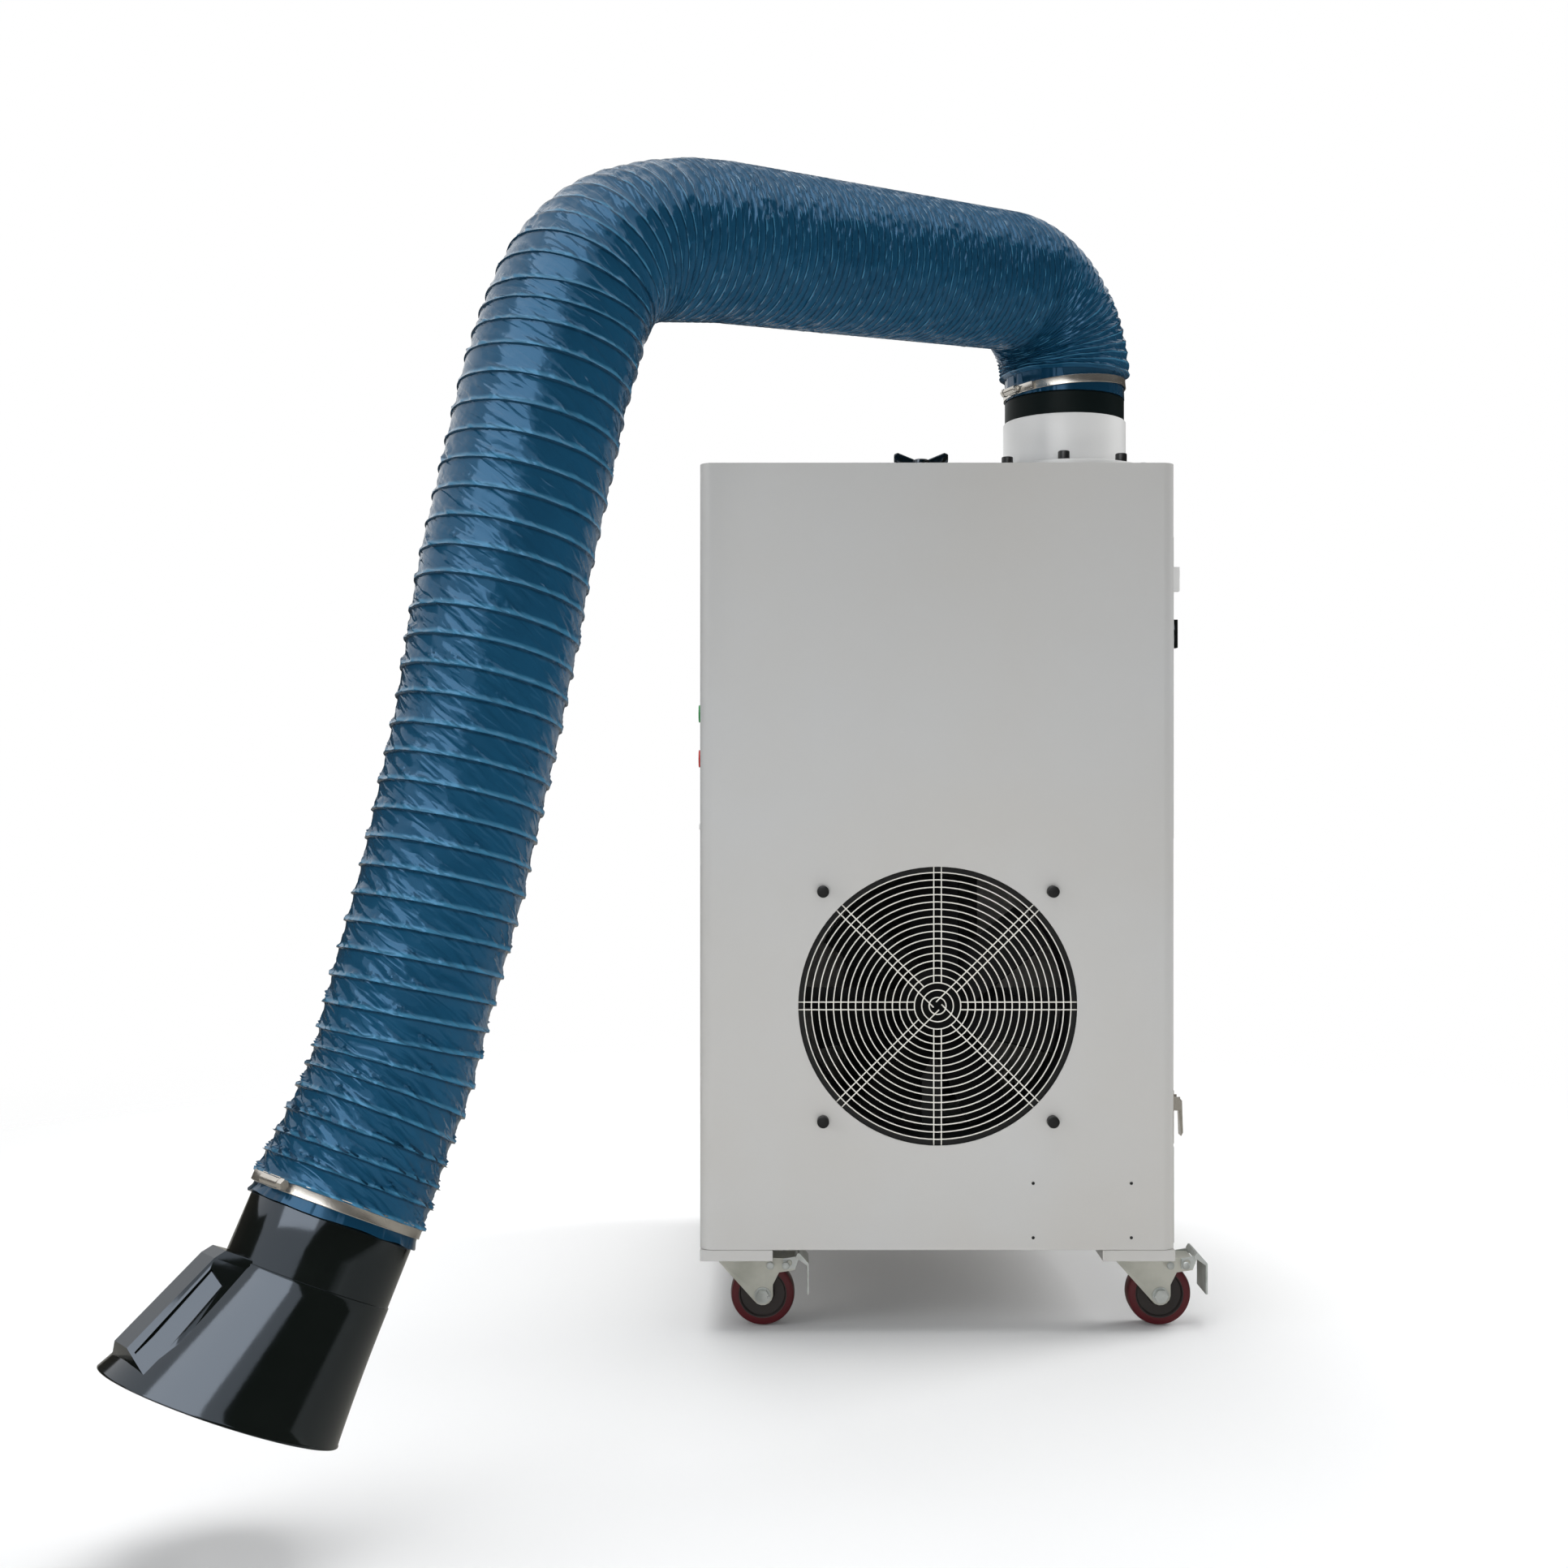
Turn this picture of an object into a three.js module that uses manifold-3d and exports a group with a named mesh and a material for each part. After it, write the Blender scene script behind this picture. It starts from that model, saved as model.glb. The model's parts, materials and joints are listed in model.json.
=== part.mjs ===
// Mobile welding fume extractor: a sheet steel cabinet on four swivel casters, the front two with brakes,
// a filter cartridge and a fan inside it, and a hose arm of two links that carries a black hood.
// Millimetres, +Z up, the front of the cabinet faces -Y. The cabinet stands on the floor at z = 0.
import * as THREE from "three";
import { mergeVertices } from "three/addons/utils/BufferGeometryUtils.js";
import Module from "manifold-3d";

const wasm = await Module();
wasm.setup();

// Driving dimensions
const gap = 0.3; // between pieces that touch
const overrun = 4; // how far a cutter runs past what it cuts
const weld = 0.0001; // vertices closer than this are one

const cabinet = { width: 550, depth: 550, height: 909, floorGap: 97, sheet: 1.5, edgeRadius: 15 };
const origin = { left: 210.1, front: 338.3 }; // from the cabinet's middle to the middle of the whole part
const cover = { thickness: 2, skirt: 18 };
const base = { thickness: 3 };
const rear = { flange: 16 };
const gland = { sideInset: 115, rearInset: 55, radius: 8, bore: 4, nutRadius: 12.8, nutDepth: 8 };

const collar = {
  sideInset: 105,
  frontInset: 150,
  radius: 75,
  wall: 3,
  height: 60.7,
  flangeRadius: 105,
  flangeThickness: 13.5,
};
const collarBolts = { count: 8, circle: 95.5, radius: 4, headRadius: 6.5, headHeight: 8, turn: 9.4 };
const collarRing = { width: 11, thickness: 4 };

const rod = { x: 0, y: -30, radius: 6, rise: 46, discRadius: 40, discThickness: 4 };
const knob = {
  hubRadius: 12,
  hubTopRadius: 10.8,
  hubHeight: 44,
  footRadius: 18,
  footHeight: 5.3,
  neckHeight: 13.2,
  tipHeight: 58,
  span: 70,
  rootWidth: 12,
  wingWidth: 12,
  wingDepth: 9,
  seat: 34,
};

const deck = { height: 459, thickness: 2, skirt: 16, boreRadius: 130, barWidth: 30 };
const chute = { width: 180, behindRod: 198, depth: 50, wall: 1.5 };
const cartridge = { radius: 150, fold: 16, pleats: 22, boreRadius: 128, headroom: 109.7, cap: 12, capLip: 5 };
const baffle = { width: 190, depth: 170, drop: 76, sheet: 1.5, foot: 14 };

const fan = { height: 281.5, holeRadius: 161, boltPitch: 265, boltRadius: 4, headRadius: 6.5, headHeight: 6 };
const guard = {
  wire: 2.4,
  firstRadius: 9.8,
  lastRadius: 154.3,
  rings: 6,
  arms: 8,
  stepsPerArc: 3,
  armWidth: 11,
  rimInner: 164,
  rimOuter: 172,
};
const shroud = { side: 346, sheet: 2, ringRadius: 156, ringWall: 3, depth: 75 };
const impeller = {
  blades: 7,
  tipRadius: 148,
  hubRadius: 42,
  noseRadius: 29.4,
  noseDepth: 10.5,
  hubLength: 54,
  setback: 12,
  bladeThickness: 3,
  bladeWidth: 62,
  pitch: 32,
  shaftRadius: 8,
};
const motor = { radius: 60, length: 105, footRadius: 68, footThickness: 8 };
const bracket = { armWidth: 24, thickness: 4, holeRadius: 14 };

const door = { frontInset: 70, rearInset: 80, below: 256, tall: 360, thickness: 13, sheet: 1.5, lap: 16 };
const doorHinge = { leafWidth: 22, sheet: 1.5, barrelRadius: 4.5, pinRadius: 2, reach: 7, knuckleLength: 108 };
const doorLatch = { inset: 22, above: 66, base: 15, baseHeight: 3, width: 12, tall: 34, thick: 5, stem: 4 };
const doorLip = { above: 130, tall: 29, width: 10, rise: 7 };

const drawer = {
  frontInset: 40,
  pastChute: 27,
  length: 400,
  tall: 92,
  sheet: 1.5,
  front: 2,
  lapSide: 20,
  lapTop: 20,
};
const pull = { span: 100, reach: 26, bar: 8 };
const toggle = {
  frontInset: 28,
  height: 150,
  width: 20,
  tall: 62,
  plate: 1.5,
  pinRadius: 2,
  pinAbove: 15.5,
  ear: 2,
  earTall: 16,
  earRise: 8,
  eyeRadius: 3.8,
  lever: 2.5,
  leverReach: 38.4,
  leverTip: 4.3,
  heel: 2.3,
};

const panel = {
  frontInset: 200,
  bottom: 460,
  width: 90,
  tall: 210,
  sheet: 1.5,
  lamp: 4,
  lampRise: 9,
  lampAbove: 24,
};
const button = { radius: 11, rise: 8.5, ring: 2, stem: 6, stemLength: 16, firstAbove: 167, secondAbove: 110 };

const caster = { inset: 42.5, plate: 84, plateThickness: 13, kingpin: 5, swivel: 30, swivelDepth: 2.7 };
const wheel = {
  radius: 37.5,
  width: 25,
  hubWidth: 27.2,
  hubRadius: 13,
  trail: 30,
  tread: 6,
  shoulder: 3,
  dish: 5,
  dishRadius: 28,
};
const fork = {
  cheek: 2.5,
  innerWidth: 28.4,
  crown: 2.8,
  front: 25,
  rear: 68,
  eye: 12,
  flare: 19.2,
  flareDrop: 16.8,
  drop: 14,
  rivet: 3.4,
};
const axle = { radius: 5, headRadius: 9, headHeight: 5, stub: 4 };
const pedal = {
  pivotX: 61,
  pivotDrop: 5,
  sheet: 2.2,
  width: 44,
  ear: 2,
  earReach: 7,
  rise: 4.3,
  topX: 71,
  tipX: 84,
  bend: 12,
  drop: 36,
};

const arm = {
  azimuth: 48,
  shoulderRise: 141.5,
  upperLength: 733,
  droop: 6,
  lowerLength: 815,
  lean: 14.3,
  hoodTilt: 26,
};
const hose = {
  sides: 8,
  boreRadius: 71.8,
  valleyRadius: 79,
  crestRadius: 84,
  cuffRadius: 72.8,
  cuffLength: 27,
  shoulderBend: 98,
  elbowBend: 135,
  wristBend: 260,
  tightPitch: 13.5,
  elbowPitch: 17,
  loosePitch: 25,
  wristPitch: 16,
  ribsPerBoreRing: 5,
};
const clamp = { thickness: 1.2, height: 12, fromEnd: 13, screwLength: 30, screwSide: 11, baseTurn: -14, hoodTurn: 166 };
const swivel = { radius: 73, height: 26.7, spigotRadius: 66, wall: 3, sleeve: 25, spigot: 30 };
const bar = {
  thickness: 14,
  tall: 30,
  cheek: 4,
  cheekLength: 90,
  clear: 37.5,
  pinRadius: 6,
  pinHead: 9,
  pinHeadHeight: 3,
  foot: 6,
  footWidth: 40,
};
const hood = {
  neckRadius: 72,
  neckLength: 55,
  spigot: 40,
  fromWrist: 135,
  rimRadius: 102.5,
  flare: 110,
  offset: 31,
  wall: 3,
};
const grip = {
  width: 25,
  spread: 25, // degrees to each side round the hood, where the foot ends
  sink: 6,
  stations: [
    { along: 50, rise: 16 },
    { along: 58, rise: 21.3 },
    { along: 141, rise: 13.6 },
    { along: 160, rise: -12.7 },
  ],
  window: [
    { along: 66, footShare: 0.12 },
    { along: 142, footShare: 0.24 },
    { along: 151, footShare: 0.88 },
    { along: 76, footShare: 0.72 },
  ],
  recess: 5,
};

// Finishes
const finish = (color, roughness, metalness) =>
  new THREE.MeshStandardMaterial({ color, roughness, metalness });
const greyPaint = finish(0xc4c2bd, 0.5, 0);
const palePaint = finish(0xd9d9d6, 0.4, 0);
const innerSteel = finish(0x8d9092, 0.45, 0.8);
const zinc = finish(0xb4b3a6, 0.35, 0.9);
const stainless = finish(0xbdb9b0, 0.25, 1);
const blackSteel = finish(0x1a1b1d, 0.4, 0.3);
const blackPlastic = finish(0x101214, 0.25, 0);
const paleWire = finish(0xdedbd0, 0.35, 0.2);
const wineTread = finish(0x4a1118, 0.4, 0);
const filterPaper = finish(0xe4e2d8, 0.9, 0);
const blueHose = finish(0x2c6f99, 0.35, 0);
const greenCap = finish(0x2f8f4a, 0.4, 0);
const redCap = finish(0xb3261f, 0.4, 0);
const aluminium = finish(0xa9acae, 0.4, 0.9);

// Closed three.js geometries become solids that can be joined and cut
function solid(geometry) {
  const loose = geometry.index ? geometry.toNonIndexed() : geometry;
  const bare = new THREE.BufferGeometry();
  bare.setAttribute("position", loose.getAttribute("position"));
  const merged = mergeVertices(bare, weld);
  const vertProperties = merged.attributes.position.array;
  const triVerts = new Uint32Array(merged.index.array);
  return new wasm.Manifold(new wasm.Mesh({ numProp: 3, vertProperties, triVerts }));
}

function geometryOf(body) {
  const mesh = body.getMesh();
  const geometry = new THREE.BufferGeometry();
  geometry.setAttribute("position", new THREE.BufferAttribute(new Float32Array(mesh.vertProperties), 3));
  geometry.setIndex(new THREE.BufferAttribute(new Uint32Array(mesh.triVerts), 1));
  const flat = geometry.toNonIndexed();
  flat.computeVertexNormals();
  return flat;
}

const joined = (...pieces) => pieces.map(solid).reduce((whole, piece) => whole.add(piece));
const cut = (body, ...tools) => tools.map(solid).reduce((left, tool) => left.subtract(tool), body);

// A named piece, from a geometry or a solid
function piece(parent, name, shape, material) {
  const geometry = shape.isBufferGeometry ? shape : geometryOf(shape);
  const mesh = new THREE.Mesh(geometry, material);
  mesh.name = name;
  parent.add(mesh);
  return mesh;
}

function group(parent, x = 0, y = 0, z = 0) {
  const made = new THREE.Group();
  made.position.set(x, y, z);
  parent.add(made);
  return made;
}

// Shapes in the XY plane, raised along +Z
const radians = THREE.MathUtils.degToRad;
const vector2 = ([x, y]) => new THREE.Vector2(x, y);
const outline = (points) => new THREE.Shape(points.map(vector2));

const sides = { nut: 6, bolt: 8, pin: 12, cap: 16, disc: 24, wide: 28, hole: 40 };

function circle(radius, x = 0, y = 0, count = sides.disc) {
  const angles = Array.from({ length: count }, (_, side) => (2 * Math.PI * side) / count);
  return outline(angles.map((angle) => [x + radius * Math.cos(angle), y + radius * Math.sin(angle)]));
}

function raised(shape, depth, z = 0, curveSegments = 12) {
  return new THREE.ExtrudeGeometry(shape, { depth, bevelEnabled: false, curveSegments }).translate(0, 0, z);
}

const drum = (radius, depth, z = 0, x = 0, y = 0, count = sides.disc) =>
  raised(circle(radius, x, y, count), depth, z);

// A ring, from its outer and inner radius
function ring(outer, inner, depth, z = 0, count = sides.wide) {
  const shape = circle(outer, 0, 0, count);
  shape.holes.push(circle(inner, 0, 0, count));
  return raised(shape, depth, z);
}

function block(width, depth, height, x = 0, y = 0, z = 0) {
  return new THREE.BoxGeometry(width, depth, height).translate(x, y, z + height / 2);
}

// A profile of radius and height pairs, turned about Z
function turned(profile, segments = sides.disc) {
  return new THREE.LatheGeometry(profile.map(vector2), segments).rotateX(Math.PI / 2);
}

// A shape in the XZ plane, centred across Y
function acrossY(shape, width, curveSegments = 3) {
  return raised(shape, width, -width / 2, curveSegments).rotateX(Math.PI / 2);
}

const rodAcrossY = (radius, length, x, z, count = sides.bolt) => acrossY(circle(radius, x, z, count), length);

// The distance from a polygon's middle to its flats, for round pieces that turn in faceted holes
const toFlats = (radius, count) => radius * Math.cos(Math.PI / count);

// Rings of points joined into one skin. A closed stack meets its own start, an open one gets flat ends.
function skin(rings, closed) {
  const around = rings[0].length;
  const points = rings.flat();
  const index = [];
  const steps = closed ? rings.length : rings.length - 1;
  for (let step = 0; step < steps; step++) {
    const here = step * around;
    const next = ((step + 1) % rings.length) * around;
    for (let side = 0; side < around; side++) {
      const other = (side + 1) % around;
      index.push(here + side, here + other, next + other);
      index.push(here + side, next + other, next + side);
    }
  }
  const last = (rings.length - 1) * around;
  for (let side = 1; !closed && side < around - 1; side++) {
    index.push(0, side + 1, side);
    index.push(last, last + side, last + side + 1);
  }
  return new THREE.BufferGeometry().setFromPoints(points).setIndex(index);
}

const extractor = new THREE.Group();
const machine = group(extractor, origin.left, origin.front);
const half = { width: cabinet.width / 2, depth: cabinet.depth / 2 };
const bottom = cabinet.floorGap;
const top = bottom + cabinet.height;
const inner = { width: half.width - cabinet.sheet - gap, depth: half.depth - cabinet.sheet - gap };
const collarPlace = { x: half.width - collar.sideInset, y: collar.frontInset - half.depth };
const glandPlace = { x: gland.sideInset - half.width, y: half.depth - gland.rearInset };
const chuteY = rod.y + chute.behindRod;
const doorRear = half.depth - door.rearInset;
const doorFront = door.frontInset - half.depth;
const doorWidth = doorRear - doorFront;
const doorPlace = { x: (doorFront + doorRear) / 2, y: cabinet.height - door.below };
const drawerEnds = [drawer.frontInset - half.depth, chuteY + drawer.pastChute];
const drawerX = (drawerEnds[0] + drawerEnds[1]) / 2;
const drawerWidth = drawerEnds[1] - drawerEnds[0];
const toggleX = toggle.frontInset - half.depth;
const panelX = half.depth - panel.frontInset;

// A frame on a wall of the cabinet: x along the wall, y up from the cabinet's bottom, z outwards
function wallFrame(turn, distance) {
  const frame = group(machine);
  frame.rotation.set(Math.PI / 2, 0, turn, "ZYX");
  frame.position.set(Math.sin(turn) * distance, -Math.cos(turn) * distance, bottom);
  return frame;
}
const front = wallFrame(0, half.depth);
const right = wallFrame(Math.PI / 2, half.width);
const left = wallFrame(-Math.PI / 2, half.width);
const back = wallFrame(Math.PI, half.depth);

// Cabinet shell: the front and both sides, folded from one sheet, with rounded front edges
function roundedFront(halfWidth, halfDepth, radius, backY) {
  const shape = new THREE.Shape();
  shape.moveTo(halfWidth, backY);
  shape.lineTo(-halfWidth, backY);
  shape.lineTo(-halfWidth, radius - halfDepth);
  shape.absarc(radius - halfWidth, radius - halfDepth, radius, Math.PI, 1.5 * Math.PI);
  shape.lineTo(halfWidth - radius, -halfDepth);
  shape.absarc(halfWidth - radius, radius - halfDepth, radius, 1.5 * Math.PI, 2 * Math.PI);
  return shape;
}
const buttonHeights = [button.firstAbove, button.secondAbove].map((above) => panel.bottom + above);
const doorWay = { width: doorWidth - 2 * door.lap, tall: door.tall - 2 * door.lap };
const drawerWay = { width: drawerWidth + 4 * gap, tall: drawer.tall + 4 * gap };

// A cutter or piece made on a wall, brought into the machine's frame
function onWall(frame, geometry) {
  frame.updateMatrix();
  return geometry.applyMatrix4(frame.matrix);
}
{
  const edge = cabinet.edgeRadius;
  const walls = roundedFront(half.width, half.depth, edge, half.depth);
  const space = roundedFront(
    half.width - cabinet.sheet,
    half.depth - cabinet.sheet,
    edge - cabinet.sheet,
    half.depth + overrun,
  );
  const through = cabinet.sheet + 2 * overrun;
  const inside = -cabinet.sheet - overrun;
  const reach = fan.boltPitch / 2;
  const bolts = [-reach, reach].flatMap((side) => [-reach, reach].map((rise) => [side, rise]));
  const drawerMiddle = base.thickness + drawerWay.tall / 2;
  const shell = cut(
    solid(raised(walls, cabinet.height, bottom, 4)),
    raised(space, cabinet.height + 2 * overrun, bottom - overrun, 4),
    onWall(front, drum(fan.holeRadius, through, inside, 0, fan.height, sides.hole)),
    ...bolts.map(([side, rise]) =>
      onWall(front, drum(fan.boltRadius + gap, through, inside, side, fan.height + rise, sides.bolt)),
    ),
    onWall(right, block(doorWay.width, doorWay.tall, through, doorPlace.x, doorPlace.y, inside)),
    onWall(right, block(drawerWay.width, drawerWay.tall, through, drawerX, drawerMiddle, inside)),
    ...buttonHeights.map((y) =>
      onWall(left, drum(button.stem + gap, through, inside, panelX, y, sides.pin)),
    ),
  );
  piece(machine, "cabinet_shell", shell, greyPaint);
}

// Top cover: a folded lid between the walls, open under the collar and for the filter rod
function collarBoltPlaces() {
  return Array.from({ length: collarBolts.count }, (_, bolt) => {
    const angle = radians((360 / collarBolts.count) * bolt - 90 - collarBolts.turn);
    const [x, y] = [Math.cos(angle), Math.sin(angle)].map((way) => way * collarBolts.circle);
    return [collarPlace.x + x, collarPlace.y + y];
  });
}
const collarBoltHoles = () =>
  collarBoltPlaces().map(([x, y]) => circle(collarBolts.radius + gap, x, y, sides.nut));
function cornered(inset) {
  const edge = cabinet.edgeRadius - cabinet.sheet - gap;
  const halfDepth = inner.depth - inset;
  return roundedFront(inner.width - inset, halfDepth, Math.max(edge - inset, gap), halfDepth);
}
{
  const lid = cornered(0);
  lid.holes.push(circle(collar.radius - collar.wall, collarPlace.x, collarPlace.y, sides.wide));
  lid.holes.push(circle(rod.radius + gap, rod.x, rod.y, sides.pin));
  lid.holes.push(...collarBoltHoles());
  const skirt = cornered(0);
  skirt.holes.push(cornered(cabinet.sheet));
  const folded = joined(
    raised(lid, cover.thickness, top - cover.thickness, 3),
    raised(skirt, cover.skirt, top - cover.skirt, 3),
  );
  piece(machine, "top_cover", folded, greyPaint);
}

// Base plate: carries the casters and the drawer, with the hole of the cable gland
{
  const plate = cornered(0);
  plate.holes.push(circle(gland.radius + gap, glandPlace.x, glandPlace.y, sides.pin));
  piece(machine, "base_plate", raised(plate, base.thickness, bottom, 3), greyPaint);
}

// Rear panel: a flat sheet with folded edges
{
  const wide = 2 * inner.width;
  const flangeBottom = base.thickness + gap;
  const flangeTop = cabinet.height - cover.skirt - gap;
  const flange = (side) =>
    block(
      cabinet.sheet,
      flangeTop - flangeBottom,
      rear.flange,
      side * (inner.width - cabinet.sheet / 2),
      (flangeTop + flangeBottom) / 2,
      -cabinet.sheet - rear.flange,
    );
  const sheet = joined(
    block(wide, cabinet.height, cabinet.sheet, 0, cabinet.height / 2, -cabinet.sheet),
    flange(-1).translate(0, 0, gap),
    flange(1).translate(0, 0, gap),
  );
  piece(back, "rear_panel", sheet, greyPaint);
}

// Cable gland of the mains lead
{
  const nut = (z) => drum(gland.nutRadius, gland.nutDepth, z, 0, 0, sides.nut);
  const outerEnd = -gap - gland.nutDepth;
  const length = base.thickness + 2 * (gap + gland.nutDepth);
  const barrel = drum(gland.radius, length, outerEnd, 0, 0, sides.bolt);
  const bore = drum(gland.bore, length + 2 * overrun, outerEnd - overrun, 0, 0, sides.bolt);
  const body = cut(joined(nut(outerEnd), nut(base.thickness + gap), barrel), bore);
  piece(machine, "cable_gland", body, blackPlastic).position.set(glandPlace.x, glandPlace.y, bottom);
}

// Collar: the painted duct stub with its flange, and the bolt ring under the lid
const collarBase = top + gap;
const collarTop = collarBase + collar.flangeThickness + collar.height;
{
  const flange = circle(collar.flangeRadius, collarPlace.x, collarPlace.y, sides.wide);
  flange.holes.push(circle(collar.radius - collar.wall, collarPlace.x, collarPlace.y, sides.wide));
  flange.holes.push(...collarBoltHoles());
  const tube = ring(collar.radius, collar.radius - collar.wall, collarTop - collarBase, collarBase);
  const stub = solid(raised(flange, collar.flangeThickness, collarBase)).add(
    solid(tube.translate(collarPlace.x, collarPlace.y, 0)),
  );
  piece(machine, "collar", stub, palePaint);

  const ringTop = top - cover.thickness - gap;
  const backing = ring(
    collarBolts.circle + collarRing.width / 2,
    collarBolts.circle - collarRing.width / 2,
    collarRing.thickness,
    ringTop - collarRing.thickness,
    sides.disc,
  ).translate(collarPlace.x, collarPlace.y, 0);
  const headBase = collarBase + collar.flangeThickness + gap;
  const ringBase = ringTop - collarRing.thickness;
  const shanks = collarBoltPlaces().flatMap(([x, y]) => [
    drum(collarBolts.radius, headBase + gap - ringBase, ringBase, x, y, sides.nut),
    drum(collarBolts.headRadius, collarBolts.headHeight, headBase, x, y, sides.nut),
  ]);
  piece(machine, "collar_bolts", joined(backing, ...shanks), blackSteel);
}

// Filter deck: splits the dusty chamber from the fan chamber, with a chute down to the drawer
const deckTop = bottom + deck.height + deck.thickness;
{
  const plate = cornered(0);
  plate.holes.push(circle(deck.boreRadius, rod.x, rod.y, sides.disc));
  plate.holes.push(
    outline([
      [-chute.width / 2, chuteY - chute.depth / 2],
      [chute.width / 2, chuteY - chute.depth / 2],
      [chute.width / 2, chuteY + chute.depth / 2],
      [-chute.width / 2, chuteY + chute.depth / 2],
    ]),
  );
  const skirtOuter = cornered(rear.flange + cabinet.sheet);
  skirtOuter.holes.push(cornered(rear.flange + 2 * cabinet.sheet));
  const chuteBottom = bottom + base.thickness + drawerWay.tall + 2 * gap;
  const chuteLength = deckTop - chuteBottom;
  const walls = cut(
    solid(
      block(
        chute.width + 2 * chute.wall,
        chute.depth + 2 * chute.wall,
        chuteLength - deck.thickness / 2,
        0,
        chuteY,
        chuteBottom,
      ),
    ),
    block(chute.width, chute.depth, chuteLength + 2 * overrun, 0, chuteY, chuteBottom - overrun),
  );
  const flat = cut(
    solid(raised(plate, deck.thickness, deckTop - deck.thickness, 3)),
    ...[-1, 1].map((side) =>
      block(
        2 * (cabinet.sheet + gap),
        2 * (rear.flange + cabinet.sheet),
        deck.thickness + 2 * overrun,
        side * inner.width,
        inner.depth,
        deckTop - deck.thickness - overrun,
      ),
    ),
  );
  const barLength = 2 * deck.boreRadius + overrun;
  const body = flat
    .add(solid(block(barLength, deck.barWidth, deck.thickness, rod.x, rod.y, deckTop - deck.thickness)))
    .add(solid(raised(skirtOuter, deck.skirt, deckTop - deck.skirt, 3)))
    .add(walls);
  piece(machine, "filter_deck", body, innerSteel);
}

// Filter cartridge: pleated paper between two end caps, held down by a rod that the wing knob tightens
const cartridgeBase = deckTop + gap;
const cartridgeTop = top - cartridge.headroom;
const cartridgeLength = cartridgeTop - cartridgeBase;
{
  const pleats = Array.from({ length: 2 * cartridge.pleats }, (_, fold) => {
    const angle = (Math.PI * fold) / cartridge.pleats;
    const reach = cartridge.radius - (fold % 2) * cartridge.fold;
    return [reach * Math.cos(angle), reach * Math.sin(angle)];
  });
  const paper = outline(pleats);
  paper.holes.push(circle(cartridge.boreRadius));
  const capOuter = cartridge.radius + cartridge.capLip;
  const body = joined(
    raised(paper, cartridgeLength - cartridge.cap, cartridge.cap / 2),
    ring(capOuter, cartridge.boreRadius, cartridge.cap, 0, sides.disc),
    ring(capOuter, rod.radius + gap, cartridge.cap, cartridgeLength - cartridge.cap, sides.disc),
  );
  piece(machine, "filter_cartridge", body, filterPaper).position.set(rod.x, rod.y, cartridgeBase);
}
{
  const stud = drum(rod.radius, top + rod.rise - deckTop - gap, deckTop + gap, 0, 0, sides.pin);
  const disc = drum(rod.discRadius, rod.discThickness, cartridgeTop + gap, 0, 0, sides.cap);
  piece(machine, "filter_rod", joined(stud, disc), zinc).position.set(rod.x, rod.y, 0);
}

// Wing knob on the rod, above the lid
const knobGroup = group(machine, rod.x, rod.y, top + gap);
{
  const tip = knob.span / 2;
  const root = knob.rootWidth / 2;
  const wings = outline([
    [root, knob.seat],
    [tip, knob.tipHeight - knob.wingWidth],
    [tip, knob.tipHeight],
    [tip - knob.wingWidth, knob.tipHeight],
    [root, knob.hubHeight],
    [-root, knob.hubHeight],
    [knob.wingWidth - tip, knob.tipHeight],
    [-tip, knob.tipHeight],
    [-tip, knob.tipHeight - knob.wingWidth],
    [-root, knob.seat],
  ]);
  const hub = turned(
    [
      [0, 0],
      [knob.footRadius, 0],
      [knob.footRadius, knob.footHeight],
      [knob.hubRadius, knob.neckHeight],
      [knob.hubTopRadius, knob.hubHeight],
      [0, knob.hubHeight],
    ],
    sides.pin,
  );
  const bore = drum(rod.radius + gap, knob.tipHeight + 2 * overrun, -overrun, 0, 0, sides.pin);
  piece(knobGroup, "wing_knob", cut(joined(hub, acrossY(wings, knob.wingDepth)), bore), blackPlastic);
}

// Spark baffle: a plate hung under the collar on two folded legs
{
  const underLid = top - cover.thickness - collarRing.thickness - 2 * gap;
  const plate = block(baffle.width, baffle.depth, baffle.sheet, 0, 0, -baffle.drop);
  const leg = (side) => {
    const legX = (side * (baffle.width - baffle.sheet)) / 2;
    const footX = (side * (baffle.width - baffle.foot)) / 2;
    return joined(
      block(baffle.sheet, baffle.depth, baffle.drop, legX, 0, -baffle.drop),
      block(baffle.foot, baffle.depth, baffle.sheet, footX, 0, -baffle.sheet),
    );
  };
  const hung = solid(plate).add(leg(-1)).add(leg(1));
  piece(machine, "spark_baffle", hung, innerSteel).position.set(
    inner.width - baffle.width / 2 - baffle.foot,
    collarPlace.y,
    underLid,
  );
}

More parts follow.
